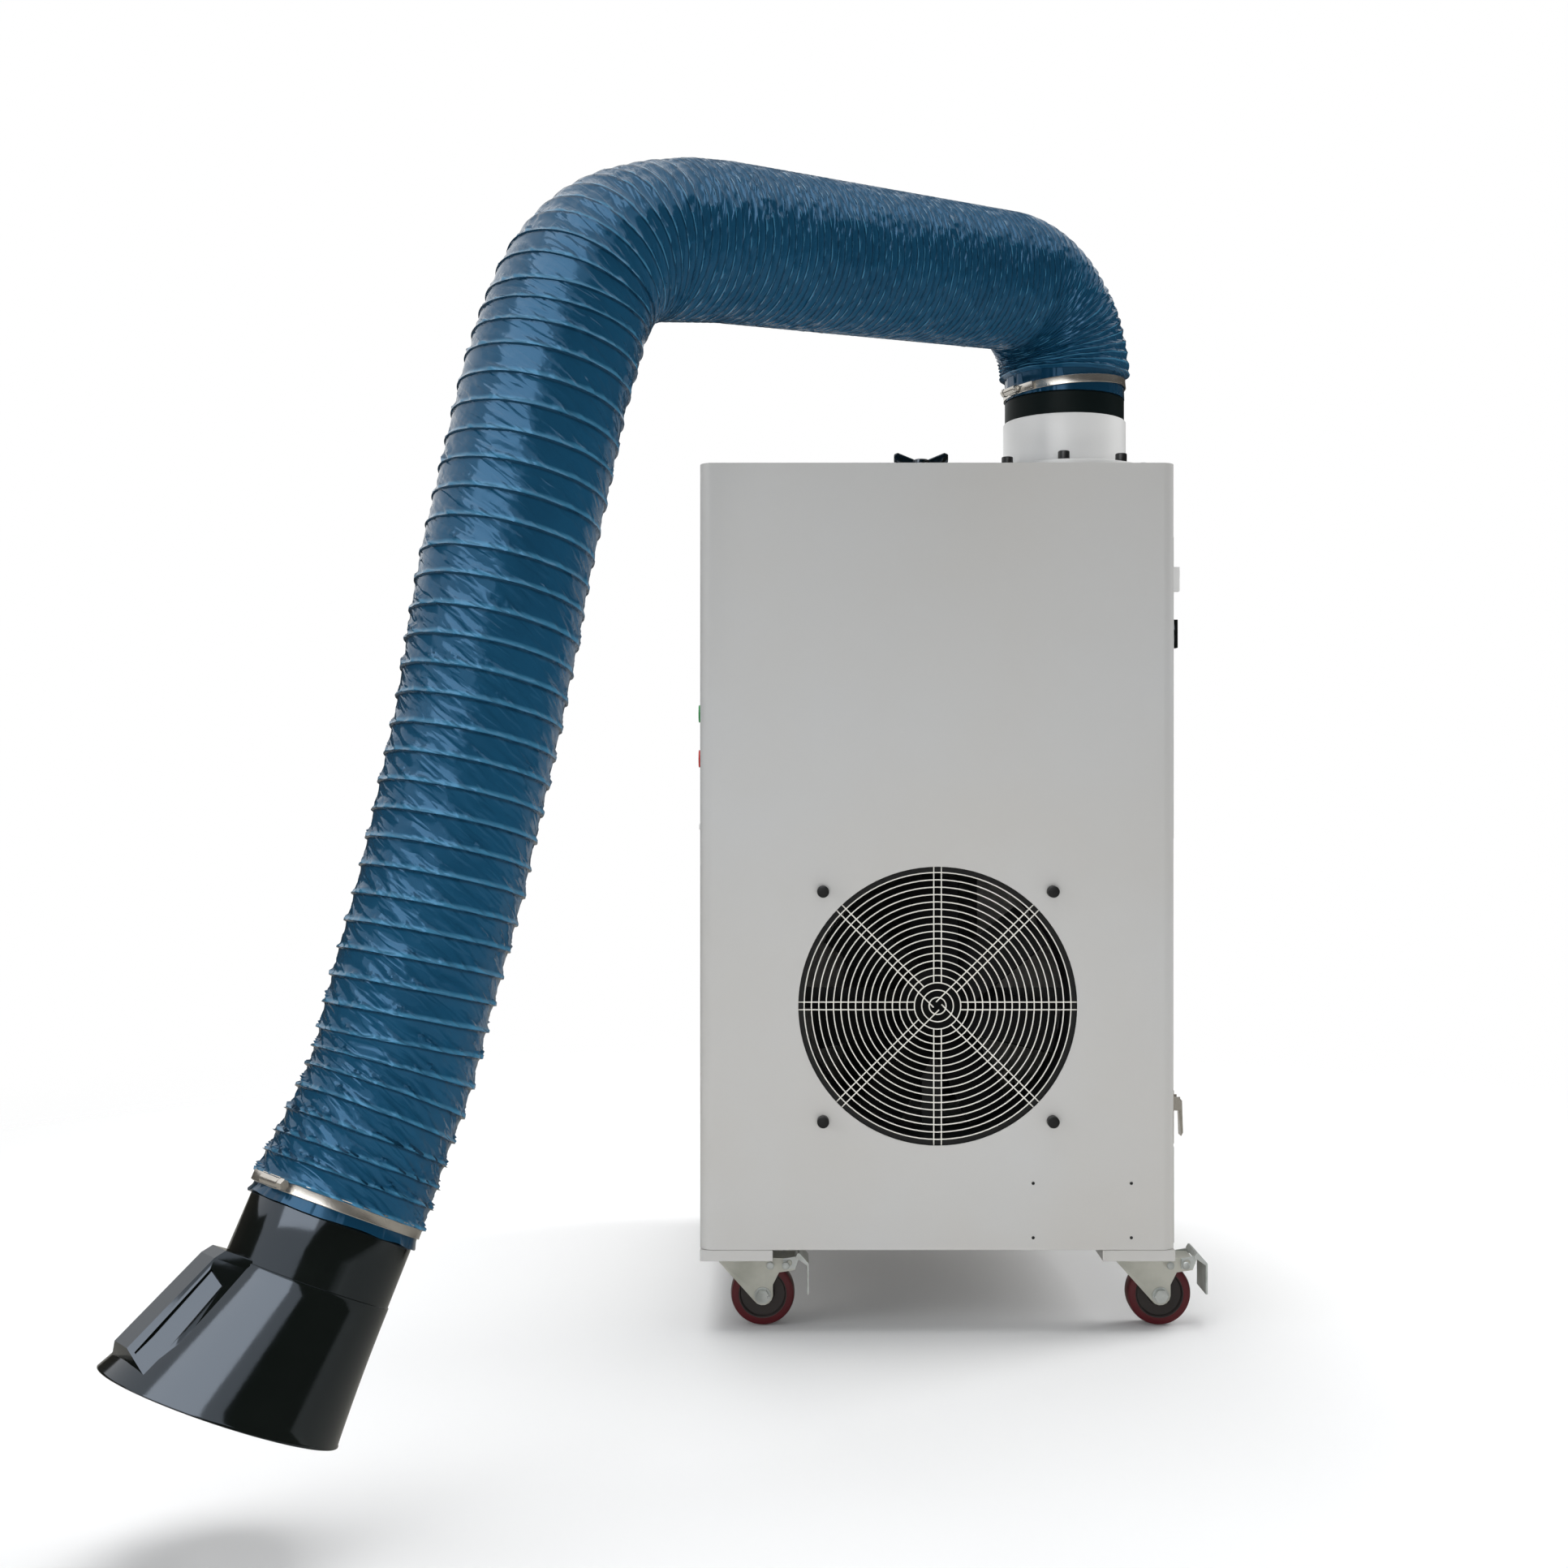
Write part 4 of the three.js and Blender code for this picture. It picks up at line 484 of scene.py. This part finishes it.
# Filter deck, cartridge, tie rod and spark baffle: plain galvanised sheet and pleated paper inside the
# cabinet, seen through the filter door only.
inner_steel = plating("inner_steel", (120, 122, 124), (96, 98, 100), 0.42)
filter_paper = moulded("filter_paper", (228, 226, 216), (205, 200, 186), 0.9)
dress(inner_steel, "filter_deck", "spark_baffle")
dress(filter_paper, "filter_cartridge")
dress(zinc, "filter_rod")

# Casters: plated forks under painted plates, a dark red tread on a dark core, a through axle with a nut,
# and a bright pedal on the two front ones.
wine_tread = moulded("wine_tread", (74, 20, 26), (52, 18, 22), 0.3)
core_black = moulded("wine_tread", (38, 34, 33), (52, 46, 44), 0.5)
bright_zinc = plating("zinc", (206, 210, 208), (150, 154, 150), 0.3, 120.0, 0.6)
TREAD = [
    (28.2, -12.2), (33.5, -12.5), (36, -11), (37.3, -7), (37.5, 0), (37.3, 7), (36, 11), (33.5, 12.5), (28.2, 12.2),
]
CORE = [
    (28.2, 11.4), (27, 11.2), (25.6, 8), (14.4, 7.4), (13, 13.6), (6.5, 13.6), (6.5, -13.6), (13, -13.6),
    (14.4, -7.4), (25.6, -8), (27, -11.2), (28.2, -11.4),
]
WASHER = [(0, 0), (9.4, 0), (9.6, 0.3), (9.6, 1.4), (0, 1.4)]
NUT = [(0, 0), (6.8, 0), (8, 0.9), (8, 5.4), (0, 5.4)]
BOLT_HEAD = [(0, 0), (6.6, 0), (7.8, 0.8), (7.8, 5), (0, 5)]
THREAD = [(0, 0.6), (3.4, 0.6), (4.2, 0), (4.2, -2), (3.8, -2.5), (4.2, -3), (4.2, -12), (0, -12)]
FORK_RIVET = [(0, -0.6), (4.4, -0.6), (4.4, 0.6), (3.6, 1.5), (1.8, 2), (0.4, 2.1), (0, 2.1)]
SHANK, RIVETS_BEHIND, RIVETS_ABOVE = 5.9, (9, 27), 38
for corner in ("front_left", "front_right", "rear_left", "rear_right"):
    low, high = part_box(f"{corner}_wheel")
    x, y, z = (low + high) / 2 / MM
    tread, core = (turned(profile, 96, spot(x, y, z, 90), closed=True) for profile in (TREAD, CORE))
    piece(f"{corner}_tyre", tread, wine_tread, 40, f"{corner}_wheel", [f"{corner}_wheel"])
    piece(f"{corner}_wheel_core", core, core_black, 40, f"{corner}_wheel")
    eased(f"{corner}_fork", zinc, 0.9)
    eased(f"{corner}_caster_plate", grey_paint, 0.8)
    start, end = (side.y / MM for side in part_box(f"{corner}_axle"))
    bolt = together(
        turned(WASHER, 40, spot(x, start + 6.6, z, 90)), turned(NUT, 6, spot(x, start + 5.2, z, 90)),
        turned(THREAD, 32, spot(x, start + 0.6, z, 90)), turned(BOLT_HEAD, 6, spot(x, end - 5, z, -90)),
        rod((x, start + 5, z), (x, end - 4, z), SHANK, 32),
    )
    piece(f"{corner}_axle_bolt", bolt, bright_zinc, 30, f"{corner}_caster", [f"{corner}_axle"])
    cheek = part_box(f"{corner}_fork")[0].y / MM
    rivets = [turned(FORK_RIVET, 24, spot(x + behind, cheek, z + RIVETS_ABOVE, 90)) for behind in RIVETS_BEHIND]
    piece(f"{corner}_fork_rivets", together(*rivets), bright_zinc, 30, f"{corner}_caster")
    if corner.startswith("front"):
        eased(f"{corner}_brake_pedal", bright_zinc, 0.9)

# Arm: a black swivel ring in the collar carries two steel links and their pins, all inside the hose. The
# ring turns, and the links hold the hood by friction.
ring_black = moulded("black_plastic", (14, 21, 21), (20, 27, 27), 0.4, Specular_IOR_Level=0.08)
ring_profile = [
    (63, 1055.8), (66, 1055.8), (66, 1080.6), (72, 1080.8), (73, 1081.8), (73, 1106.5), (72, 1107.5), (71.4, 1107.8),
    (71.4, 1137.5), (68.4, 1137.5), (68.4, 1090), (63, 1086),
]
piece(
    "swivel_ring_moulding", turned(ring_profile, 96, spot(COLLAR_X, COLLAR_Y, 0), closed=True), ring_black, 35,
    "arm_base", ["swivel_ring"],
)
dress(black_steel, "shoulder_fork", "hood_bracket")
dress(zinc, "shoulder_pin", "elbow_pin", "wrist_pin")
aluminium = plating("aluminium", (190, 193, 196), (165, 168, 172), 0.35)
dress(aluminium, "upper_link", "lower_link")

# Hose: coated cloth over a steel wire, pressed tight along the upper arm and let out down the lower arm. Each
# ridge has the wire in it, and the cloth between two ridges is creased. It is cut where the joints need it.
HOOD_X, HOOD_Z = 989.5, 261.3
CORNERS = [(0, 1107.8), (0, 1249), (729, 1172.4), (930.3, 382.7), (HOOD_X, HOOD_Z)]
BENDS = [98 * MM, 135 * MM, 260 * MM]
arm_frame = Matrix.Translation((COLLAR_X * MM, COLLAR_Y * MM, 0)) @ Matrix.Rotation(math.radians(-138), 4, "Z")
corners = [Vector(corner) * MM for corner in CORNERS]
ways = [(after - before).normalized() for before, after in zip(corners, corners[1:])]
stretches = []
start = corners[0]
for way, after, corner, radius in zip(ways, ways[1:], corners[1:], BENDS):
    reach = radius * math.tan(way.angle(after) / 2)
    side = math.copysign(1, way.cross(after))
    stretches.append((start, way, (corner - start).length - reach, 0))
    stretches.append((corner - way * reach, way, radius * way.angle(after), side * radius))
    start = corner + after * reach
stretches.append((start, ways[-1], (corners[-1] - start).length, 0))
ends = [sum(stretch[2] for stretch in stretches[:count]) for count in range(8)]


def on_axis(run):
    """The hose's middle line and its way at a distance from the swivel ring, in the plane of the arm."""
    for start, way, length, radius in stretches:
        if run <= length:
            break
        run -= length
    if not radius:
        return start + way * run, way
    turn = Matrix.Rotation(run / radius, 2)
    aside = Vector((-way.y, way.x))
    return start + aside * radius - (turn @ aside) * radius, turn @ way


def between(table, at):
    """The value at a place in a table of places and values, on straight lines between its entries."""
    for (before, low), (after, high) in zip(table, table[1:]):
        if at < after:
            return low + (high - low) * min(max((at - before) / (after - before), 0), 1)
    return table[-1][1]


base_end, shoulder_end, elbow_start, elbow_end, hood_start = ends[1:6]
elbow_middle, hose_end = (elbow_start + elbow_end) / 2, ends[7]
# How far apart the ridges are, their radius, and how deep the cloth lies between them, in millimetres
PITCH = [
    (base_end, 9.5), (elbow_start - 0.03, 10), (elbow_middle, 16), (elbow_end, 20), (elbow_end + 0.06, 27.5),
    (elbow_end + 0.35, 27), (elbow_end + 0.62, 24.6), (elbow_end + 0.76, 20.5), (elbow_end + 0.84, 17.5),
    (hose_end, 17),
]
CREST = [
    (elbow_start, 80), (elbow_end + 0.3, 79.5), (elbow_end + 0.4, 76.5), (elbow_end + 0.6, 75), (elbow_end + 0.7, 74),
    (elbow_end + 0.76, 73.7), (elbow_end + 0.79, 76), (elbow_end + 0.82, 78),
]
DEPTH = [
    (elbow_start, 2.7), (elbow_end, 2.3), (elbow_end + 0.3, 2.4), (elbow_end + 0.62, 3.6), (elbow_end + 0.72, 4.2),
    (hose_end, 4.4),
]
# How far the hose hangs inside its middle line, and how far its outer side is pressed flat, in millimetres
SWAY = [
    (elbow_start - 0.08, 0), (elbow_start + 0.03, -7), (elbow_end - 0.02, -7), (elbow_end + 0.08, 0),
    (elbow_end + 0.25, 0), (elbow_end + 0.4, -7), (elbow_end + 0.55, -7), (elbow_end + 0.68, 0),
]
PRESSED = [
    (base_end, 0), ((base_end + shoulder_end) / 2, 11), (shoulder_end, 0), (elbow_start - 0.03, 0),
    (elbow_start + 0.03, 8), (elbow_end - 0.06, 8), (elbow_end + 0.03, 0),
]
CUFF, HEM, LAST_RIDGE, LOOSE_START = 27 * MM, 6 * MM, 31 * MM, elbow_end - 0.05
HOSE_SIDES, LINING, UV_RADIUS = 176, 3.3, 0.08
# Each ridge and the cloth up to the next one: shares of the pitch and of the depth
PLEAT = [(0, 0), (0.13, 0.34), (0.3, 0.86), (0.5, 1), (0.7, 0.78), (0.87, 0.34)]
LOOSE = [(0, 0), (0.03, 0.4), (0.06, 0.7), (0.12, 0.86), (0.25, 0.96), (0.38, 1), (0.5, 0.98), (0.62, 0.92),
         (0.75, 0.85), (0.86, 0.73), (0.9, 0.6), (0.96, 0.16), (0.985, 0.04)]
rings = [(0.4 * MM, 0, 0, 73.4), (CUFF * 0.5, 0, 0, 73.0), (CUFF, 0, 0, 73.2)]
run, rib = CUFF + 4 * MM, 1
while run < hose_end - LAST_RIDGE:
    pitch = between(PITCH, run) * MM * (1 + 0.12 * noise.noise(Vector((rib * 0.9, 0, 0))))
    for share, _ in LOOSE if run > LOOSE_START else PLEAT:
        rings.append((run + share * pitch, rib, share, between(CREST, run)))
    run, rib = run + pitch, rib + 1
rings += [(run, rib, 0, 76), (hose_end - 20 * MM, 0, 0, 73.2), (hose_end - CUFF * 0.5, 0, 0, 73.0),
          (hose_end - HEM, 0, 0, 73.6), (hose_end, 0, 0, 76)]


# Slanting creases round the hose: how many, how high in millimetres, and their slip from ridge to ridge. Each
# rises slowly up to a share of its width and then falls steeply.
CREASES, STEEP = ((17, 1.7, 1), (31, 0.8, 0.5)), 0.84


def crease(angle, run, rib, share):
    """How deep the cloth lies below the ridges, in millimetres, and how far it leans along the hose."""
    if not rib:
        hem = min(max(run - hose_end + HEM, 0) / HEM, 1)
        wave = noise.noise(Vector((math.cos(angle) * 2.4, math.sin(angle) * 2.4, 4)))
        return hem * wave * 2.5, hem * wave * 4
    loose = between([(elbow_start, 0), (elbow_end, 1)], run)
    bunch = between([(elbow_end + 0.64, 1), (hose_end - CUFF, 2.2)], run)
    around = Vector((math.cos(angle), math.sin(angle), 0))
    lean = noise.noise(around * 2.2 + Vector((0, 0, rib * 0.31))) * (1.3 - 0.9 * loose)
    lean += noise.noise(around * 5.0 + Vector((9, 0, rib * 0.83))) * (0.7 - 0.3 * loose) * bunch
    taut = math.sin(math.pi * share) ** 0.6
    tooth, proud = 0, noise.noise(around * 3.0 + Vector((0, 7, rib * 1.3))) * 0.5
    for folds, height, slip in CREASES:
        turn = angle * folds / (2 * math.pi) - share * (0.6 + 1.2 * loose) * folds / CREASES[0][0] + slip * 7.7 * rib
        turn += noise.noise(around * 1.7 + Vector((folds, 0, rib * 2.1))) * 0.9
        saw = turn - math.floor(turn)
        saw = saw / STEEP if saw < STEEP else (1 - saw) / (1 - STEEP)
        strength = min(max(0.65 + 1.1 * noise.noise(around * 2.3 + Vector((3, folds, rib * 1.9))), 0), 1.2)
        proud += (saw - 0.5) * height * strength * (0.4 + 0.6 * loose) * bunch ** 0.5
        tooth += (saw - 0.5) * height * strength * 0.36
    if share:
        share = min(max(share + tooth * taut, 0.06), 0.985)
    profile = LOOSE if run > LOOSE_START else PLEAT
    return between(profile + [(1, 0)], share) * between(DEPTH, run) - taut * proud, lean


def hose_place(angle, ring):
    """Where the cloth is at an angle round the middle line, on one of the rings."""
    run, rib, share, radius = ring
    deep, lean = crease(angle, run, rib, share)
    middle, way = on_axis(run)
    aside = Vector((-way.y, way.x))
    pressed = between(PRESSED, run) * max(math.cos(angle), 0) ** 2
    out = (radius - deep - pressed) * MM
    flat = middle + aside * (out * math.cos(angle) + between(SWAY, run) * MM) + way * (lean * MM)
    return arm_frame @ Vector((flat.x, out * math.sin(angle), flat.y))


def numbered(loops):
    """A profile one metre out that goes up by a metre at each ring, so that a vertex's height is its ring."""
    return [(1 / MM, number / MM) for number in range(len(loops))]


def hose_piece(name, node, first, last):
    """A stretch of the hose: a tube with a smooth lining, spun from its rings, each then put in its place."""
    cloth = rings[first:last + 1]
    lining = [
        (run, 0, 0, radius - LINING - share * 2 * between(DEPTH, run))
        for run, rib, share, radius in reversed(cloth) if share in (0, 0.5)
    ]
    loops = cloth + lining
    shape = turned(numbered(loops), HOSE_SIDES, closed=True)
    laid = shape.loops.layers.uv.new("UVMap")
    angles = {vert: math.atan2(vert.co.y, vert.co.x) for vert in shape.verts}
    numbers = {vert: round(vert.co.z) for vert in shape.verts}
    for face in shape.faces:
        seam = max(angles[vert] for vert in face.verts) > 3 and min(angles[vert] for vert in face.verts) < -3
        for corner in face.loops:
            angle = angles[corner.vert] + 2 * math.pi * (seam and angles[corner.vert] < 0)
            ring = loops[numbers[corner.vert]]
            corner[laid].uv = (angle * UV_RADIUS, ring[1] + ring[2])
    for vert in shape.verts:
        vert.co = hose_place(angles[vert], loops[numbers[vert]])
    return piece(name, shape, blue_hose, 60, None, [node])


def ring_after(run):
    return next(number for number, ring in enumerate(rings) if ring[0] >= run and ring[2] == 0)


blue_hose = moulded(
    "blue_hose", (21, 66, 93), (17, 56, 81), 0.15, Specular_IOR_Level=0.7, Specular_Tint=chip(150, 205, 255)
)
round_it, along_it = (blue_hose.add("SeparateXYZ", {}, {0: blue_hose.add("UVMap", {}, {})}, axis) for axis in (0, 1))
slant = round_it * (1 / UV_RADIUS) - along_it * 0.6
fine = blue_hose.add("CombineXYZ", {}, {
    "X": slant.maths("COSINE", slant) * 4.5, "Y": slant.maths("SINE", slant) * 4.5, "Z": along_it * 1.4,
})
fine = blue_hose.add("TexNoise", {}, {"Vector": fine, "Scale": 1.0, "Detail": 1.0, "Roughness": 0.5})
blue_hose.bump(blue_hose.ramp(fine, (0.46, 0.0), (0.6, 1.0)), 0.32, 0.002)
to_ridge = along_it.maths("FRACT", along_it)
# Painted highlight: a paler band on the cloth just before each ridge along the hose (just above it where the hose
# hangs), where the ridge's top would catch the light.
blue_hose.tint(blue_hose.ramp(to_ridge, (0.8, 0.0), (0.9, 0.75), (0.97, 0.75), (1.0, 0.0)), (62, 118, 148))
# Painted shade: a darker band on the cloth just after each ridge (just below it where the hose hangs), where the ridge
# casts its shadow.
blue_hose.tint(blue_hose.ramp(to_ridge, (0.0, 0.6), (0.05, 0.7), (0.12, 0.0)), (6, 30, 46))
# Where the hose is cut.
CUTS = [shoulder_end + 0.095, elbow_start - 0.06, elbow_end + 0.06, hood_start - 0.075]
cuts = [0, *(ring_after(run) for run in CUTS), len(rings) - 1]
spans = list(zip(cuts, cuts[1:]))
shoulder_hose = hose_piece("hose_over_shoulder", "hose_shoulder", *spans[0])
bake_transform(shoulder_hose)
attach(hose_piece("hose_upper_arm", "hose_upper", *spans[1]), "upper_arm")
elbow_hose = hose_piece("hose_over_elbow", "hose_elbow", *spans[2])
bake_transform(elbow_hose)
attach(hose_piece("hose_lower_arm", "hose_lower", *spans[3]), "lower_arm")
wrist_hose = hose_piece("hose_over_wrist", "hose_wrist", *spans[4])
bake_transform(wrist_hose)

# Hose clamps: a stainless band pulled tight by a worm screw, one on the swivel ring and one on the hood's
# neck.
BAND = [(73.9, -4.8), (75, -5), (75.3, -4.5), (75.1, -3.6), (75.1, 3.6), (75.3, 4.5), (75, 5), (73.9, 4.8)]
WORM_OUT, WORM_START, WORM_END = 80.6, -11, 12


def clamp_shape(at):
    band = turned(BAND, 96, at, closed=True)
    tail = block((2.2, 22, 8.6), (76, 12, 0), 0.5, place=at @ Matrix.Rotation(math.radians(8), 4, "Z"))
    bridge = block((5, 14, 10.6), (77.4, 0, 0), 1.2, 3, at)
    worm = rod((WORM_OUT, WORM_START, 0), (WORM_OUT, WORM_END, 0), 4.5, 32)
    hexagon = [(0, 0), (4.7, 0), (5.3, 0.6), (5.3, 4.4), (4.7, 5), (0, 5)]
    screw = turned(hexagon, 6, spot(WORM_OUT, WORM_START, 0, 90))
    for part in (worm, screw):
        bmesh.ops.transform(part, matrix=at, verts=part.verts)
    return together(band, tail, bridge, worm, screw)


tilt = Matrix.Rotation(math.radians(5), 4, Vector((0.669, 0.743, 0)))
base_at = arm_frame @ Matrix.Translation((0, 0, 1120.8 * MM)) @ tilt @ Matrix.Rotation(math.radians(-14), 4, "Z")
piece("base_clamp_band", clamp_shape(base_at), stainless, 35, "arm_base", ["base_clamp"])
hood_frame = arm_frame @ spot(HOOD_X, 0, HOOD_Z, 154, "Y")
hood_at = hood_frame @ spot(0, 0, -13.3, 166, "Z")
piece("hood_clamp_band", clamp_shape(hood_at), stainless, 35, "hood", ["hood_clamp"])

# Hood: one glossy black moulding, a round neck that widens to one side into the mouth. Its grip is a ridge
# on the outer side with a narrow top, sloping sides and a window pressed into each of them.
NECK, MOUTH, NECK_LENGTH, FLARE, ASIDE, WALL = 72, 102.5, 55, 110, -31, 3
SPIGOT_END, CONE_STEPS = -39.7, 15


def hood_rings(neck, thick):
    """Height, radius and aside of the cone's rings, with a rounded turn out of the neck."""
    made = []
    for step in range(CONE_STEPS + 1):
        share = step / CONE_STEPS
        bow = share - 0.12 * share * (1 - share)
        made.append((NECK_LENGTH + FLARE * share, neck + (MOUTH - thick - neck) * bow, ASIDE * share))
    return made


def hood_solid(loops, closed):
    """A tube through rings in the hood's frame, closed on itself or with flat ends."""
    made = turned(numbered(loops), 144, closed=closed)
    for vert in made.verts:
        height, radius, aside = loops[round(vert.co.z)]
        angle = math.atan2(vert.co.y, vert.co.x)
        vert.co = hood_frame @ (Vector((radius * math.cos(angle) + aside, radius * math.sin(angle), height)) * MM)
    if not closed:
        bmesh.ops.holes_fill(made, edges=[edge for edge in made.edges if edge.is_boundary])
    return made


outside = [
    (SPIGOT_END, 65.6, 0), (SPIGOT_END, 66, 0), (-0.2, 66, 0), (0, 70.6, 0), (0.4, 71.6, 0), (1.4, NECK, 0),
    (28, NECK, 0), (NECK_LENGTH - 2.5, NECK, 0), (NECK_LENGTH - 2, 72.9, 0),
]
for height, radius, aside in hood_rings(NECK, 0.8):
    outside.append((height, radius + 0.9 * (1 - (height - NECK_LENGTH) / FLARE), aside))
for height, radius in ((165.5, 102), (166.2, 102.4), (167, 102.4), (167.6, 101.7), (167.6, 100.6)):
    outside.append((height, radius, ASIDE))
inside = hood_rings(NECK - WALL, WALL) + [(166.4, 99.7, ASIDE)]
neck_bore = [(SPIGOT_END, 63, 0), (NECK_LENGTH - 14, 63, 0), (NECK_LENGTH - 5, 66, 0)]
piece("hood_shell", hood_solid(outside + inside[::-1] + neck_bore[::-1], True), black_plastic, 40, "hood", ["hood"])
# The grip's top edge by height and rise, and its windows by height and share of the way down its side
GRIP = [(50, 16), (58, 21.3), (141, 13.6), (160, -12.7)]
WINDOW = [(66, 0.12), (142, 0.24), (151, 0.88), (76, 0.72)]
GRIP_HALF, SPREAD, SINK, PRESSED_IN, PAST = 12.5, math.radians(25), 6, 5, 14


def on_cone(height):
    share = max(height - NECK_LENGTH, 0) / FLARE
    return NECK + (MOUTH - NECK) * share, ASIDE * share


def grip_edge(height, rise):
    radius, aside = on_cone(height)
    return Vector((aside - radius - rise, GRIP_HALF, height))


def grip_foot(height, sink):
    radius, aside = on_cone(height)
    return Vector((aside - (radius - sink) * math.cos(SPREAD), (radius - sink) * math.sin(SPREAD), height))


def hull(points):
    """The solid round some points, given in millimetres in the hood's frame."""
    made = bmesh.new()
    for point in points:
        made.verts.new(hood_frame @ (Vector(point) * MM))
    bmesh.ops.convex_hull(made, input=made.verts)
    return made


def both_sides(points):
    return [(point.x, side * point.y, point.z) for point in points for side in (-1, 1)]


blocks = []
for low, high in zip(GRIP, GRIP[1:]):
    ends = [grip_edge(*low), grip_edge(*high), grip_foot(low[0], SINK), grip_foot(high[0], SINK)]
    blocks.append(hull(both_sides(ends)))
grip = piece("hood_grip", blocks[0], black_plastic, 40, "hood")
combine(grip, "UNION", *blocks[1:])
windows = []
for side in (-1, 1):
    points = []
    for height, share in WINDOW:
        way = (height - GRIP[1][0]) / (GRIP[2][0] - GRIP[1][0])
        top = grip_edge(*GRIP[1]).lerp(grip_edge(*GRIP[2]), way)
        top.z = height
        place = top.lerp(grip_foot(height, 0), share)
        points += [(place.x, side * (place.y + out), height) for out in (-PRESSED_IN, PAST)]
    windows.append(hull(points))
space = [(20, 69, 0), (NECK_LENGTH, 70, 0)]
space += [(height + 0.01, radius + 1.2, aside) for height, radius, aside in hood_rings(NECK - WALL, WALL)]
space.append((190, 108, -38))
combine(grip, "DIFFERENCE", *windows, hood_solid(space, False))
round_edges(grip, 1.6 * MM, 3, 20)


# Floor and light: a pale floor that fades into a white room, soft lamps on all sides, and a large lamp above
# that only reflections show.
def on_scene(name, shape, finish):
    mesh = bpy.data.meshes.new(name)
    shape.to_mesh(mesh)
    shape.free()
    mesh.materials.append(finish.material)
    made = bpy.data.objects.new(name, mesh)
    bpy.context.scene.collection.objects.link(made)
    return made


floor_shape = bmesh.new()
bmesh.ops.create_circle(floor_shape, segments=96, radius=5, cap_ends=True)
floor_paint = Finish("floor_paint", (244, 244, 244), 0.9)
clear = floor_paint.add("BsdfTransparent", {}, {})
far = floor_paint.add("VectorMath", {"operation": "LENGTH"}, {0: floor_paint.place()}, 1)
fade = floor_paint.add("MapRange", {"interpolation_type": "SMOOTHSTEP"}, {"Value": far, 1: 0.9, 2: 2.4})
mixed = floor_paint.add("MixShader", {}, {
    "Fac": fade, 1: Field(floor_paint, floor_paint.tree.nodes["Principled BSDF"].outputs[0]), 2: clear,
})
floor_paint.feed(floor_paint.tree.nodes["Material Output"].inputs["Surface"], mixed)
floor = on_scene("floor", floor_shape, floor_paint)

world = bpy.data.worlds.new("room")
bpy.context.scene.world = world
world.use_nodes = True
nodes, links = world.node_tree.nodes, world.node_tree.links
ray = nodes.new("ShaderNodeLightPath")
seen = ray.outputs["Is Camera Ray"]
for kind in ("Is Glossy Ray", "Is Transmission Ray"):
    either = nodes.new("ShaderNodeMath")
    either.operation = "MAXIMUM"
    links.new(seen, either.inputs[0])
    links.new(ray.outputs[kind], either.inputs[1])
    seen = either.outputs[0]
room = nodes.new("ShaderNodeMix")
room.data_type = "RGBA"
room.inputs[6].default_value = (0.27, 0.28, 0.29, 1)
room.inputs[7].default_value = (1, 1, 1, 1)
links.new(seen, room.inputs[0])
links.new(room.outputs[2], nodes["Background"].inputs["Color"])


def lamp(name, place, aim, size, power, mirrored=False):
    light = bpy.data.lights.new(name, "AREA")
    light.shape, light.size, light.size_y, light.energy = "RECTANGLE", *size, power
    made = bpy.data.objects.new(name, light)
    bpy.context.scene.collection.objects.link(made)
    way = Vector(aim) - Vector(place)
    made.matrix_world = Matrix.Translation(place) @ way.to_track_quat("-Z", "Y").to_matrix().to_4x4()
    made.visible_glossy, made.visible_diffuse, made.visible_camera = mirrored, not mirrored, False


lamp("key", (0.0, -3.4, 0.4), (0.0, 0.0, 0.4), (2.3, 1.2), 42)
lamp("left", (-3.0, -1.3, 1.3), (-0.5, -0.4, 0.7), (1.4, 1.8), 24)
lamp("sky", (-1.2, -2.3, 3.3), (0.0, 0.0, 0.5), (3.4, 3.0), 80, True)
lamp("top", (-0.2, 0.3, 3.4), (-0.1, 0.1, 0.0), (2.4, 2.4), 88)
lamp("side", (2.9, 1.0, 1.7), (0.2, 0.3, 0.7), (1.4, 1.8), 60)
lamp("behind", (-0.6, 3.2, 2.0), (0.1, 0.2, 0.6), (2.0, 1.6), 28)
lamp("bounce", (0.2, -1.5, 0.06), (0.2, -0.2, 0.35), (2.2, 0.4), 7)

# A dark screen round the stage and a grey sheet on its floor, which only reflections show. The screen's upper
# edge by direction, in degrees and metres, leaves the front left open.
ROOM, OVER_FLOOR = 4, 2 * MM
EDGE_BY_WAY = [
    (-180, 1.7), (-168, 2.2), (-160, 1.3), (-100, 1.2), (-92, 2.0), (-50, 4.4), (-20, 4.5), (40, 4.0), (70, 2.0),
    (110, 1.6), (130, 1.4), (180, 1.7),
]
screen_shape = bmesh.new()
line = [screen_shape.verts.new((ROOM, 0, height)) for height in (-0.5, 1)]
bmesh.ops.spin(
    screen_shape, geom=line + [screen_shape.edges.new(line)], axis=(0, 0, 1), angle=2 * math.pi, steps=90,
    use_merge=True,
)
bmesh.ops.remove_doubles(screen_shape, verts=screen_shape.verts, dist=1e-5)
for vert in screen_shape.verts:
    if vert.co.z > 0:
        vert.co.z = between(EDGE_BY_WAY, math.degrees(math.atan2(vert.co.y, vert.co.x)))
sheet_shape = bmesh.new()
bmesh.ops.create_circle(sheet_shape, segments=90, radius=ROOM, cap_ends=True, matrix=spot(0, 0, OVER_FLOOR / MM))
for name, shape, shade in (("screen", screen_shape, (72, 68, 62)), ("sheet", sheet_shape, (142, 139, 132))):
    made = on_scene(name, shape, Finish(name + "_cloth", shade, 1.0, Specular_IOR_Level=0))
    made.visible_camera = made.visible_diffuse = made.visible_shadow = made.visible_transmission = False
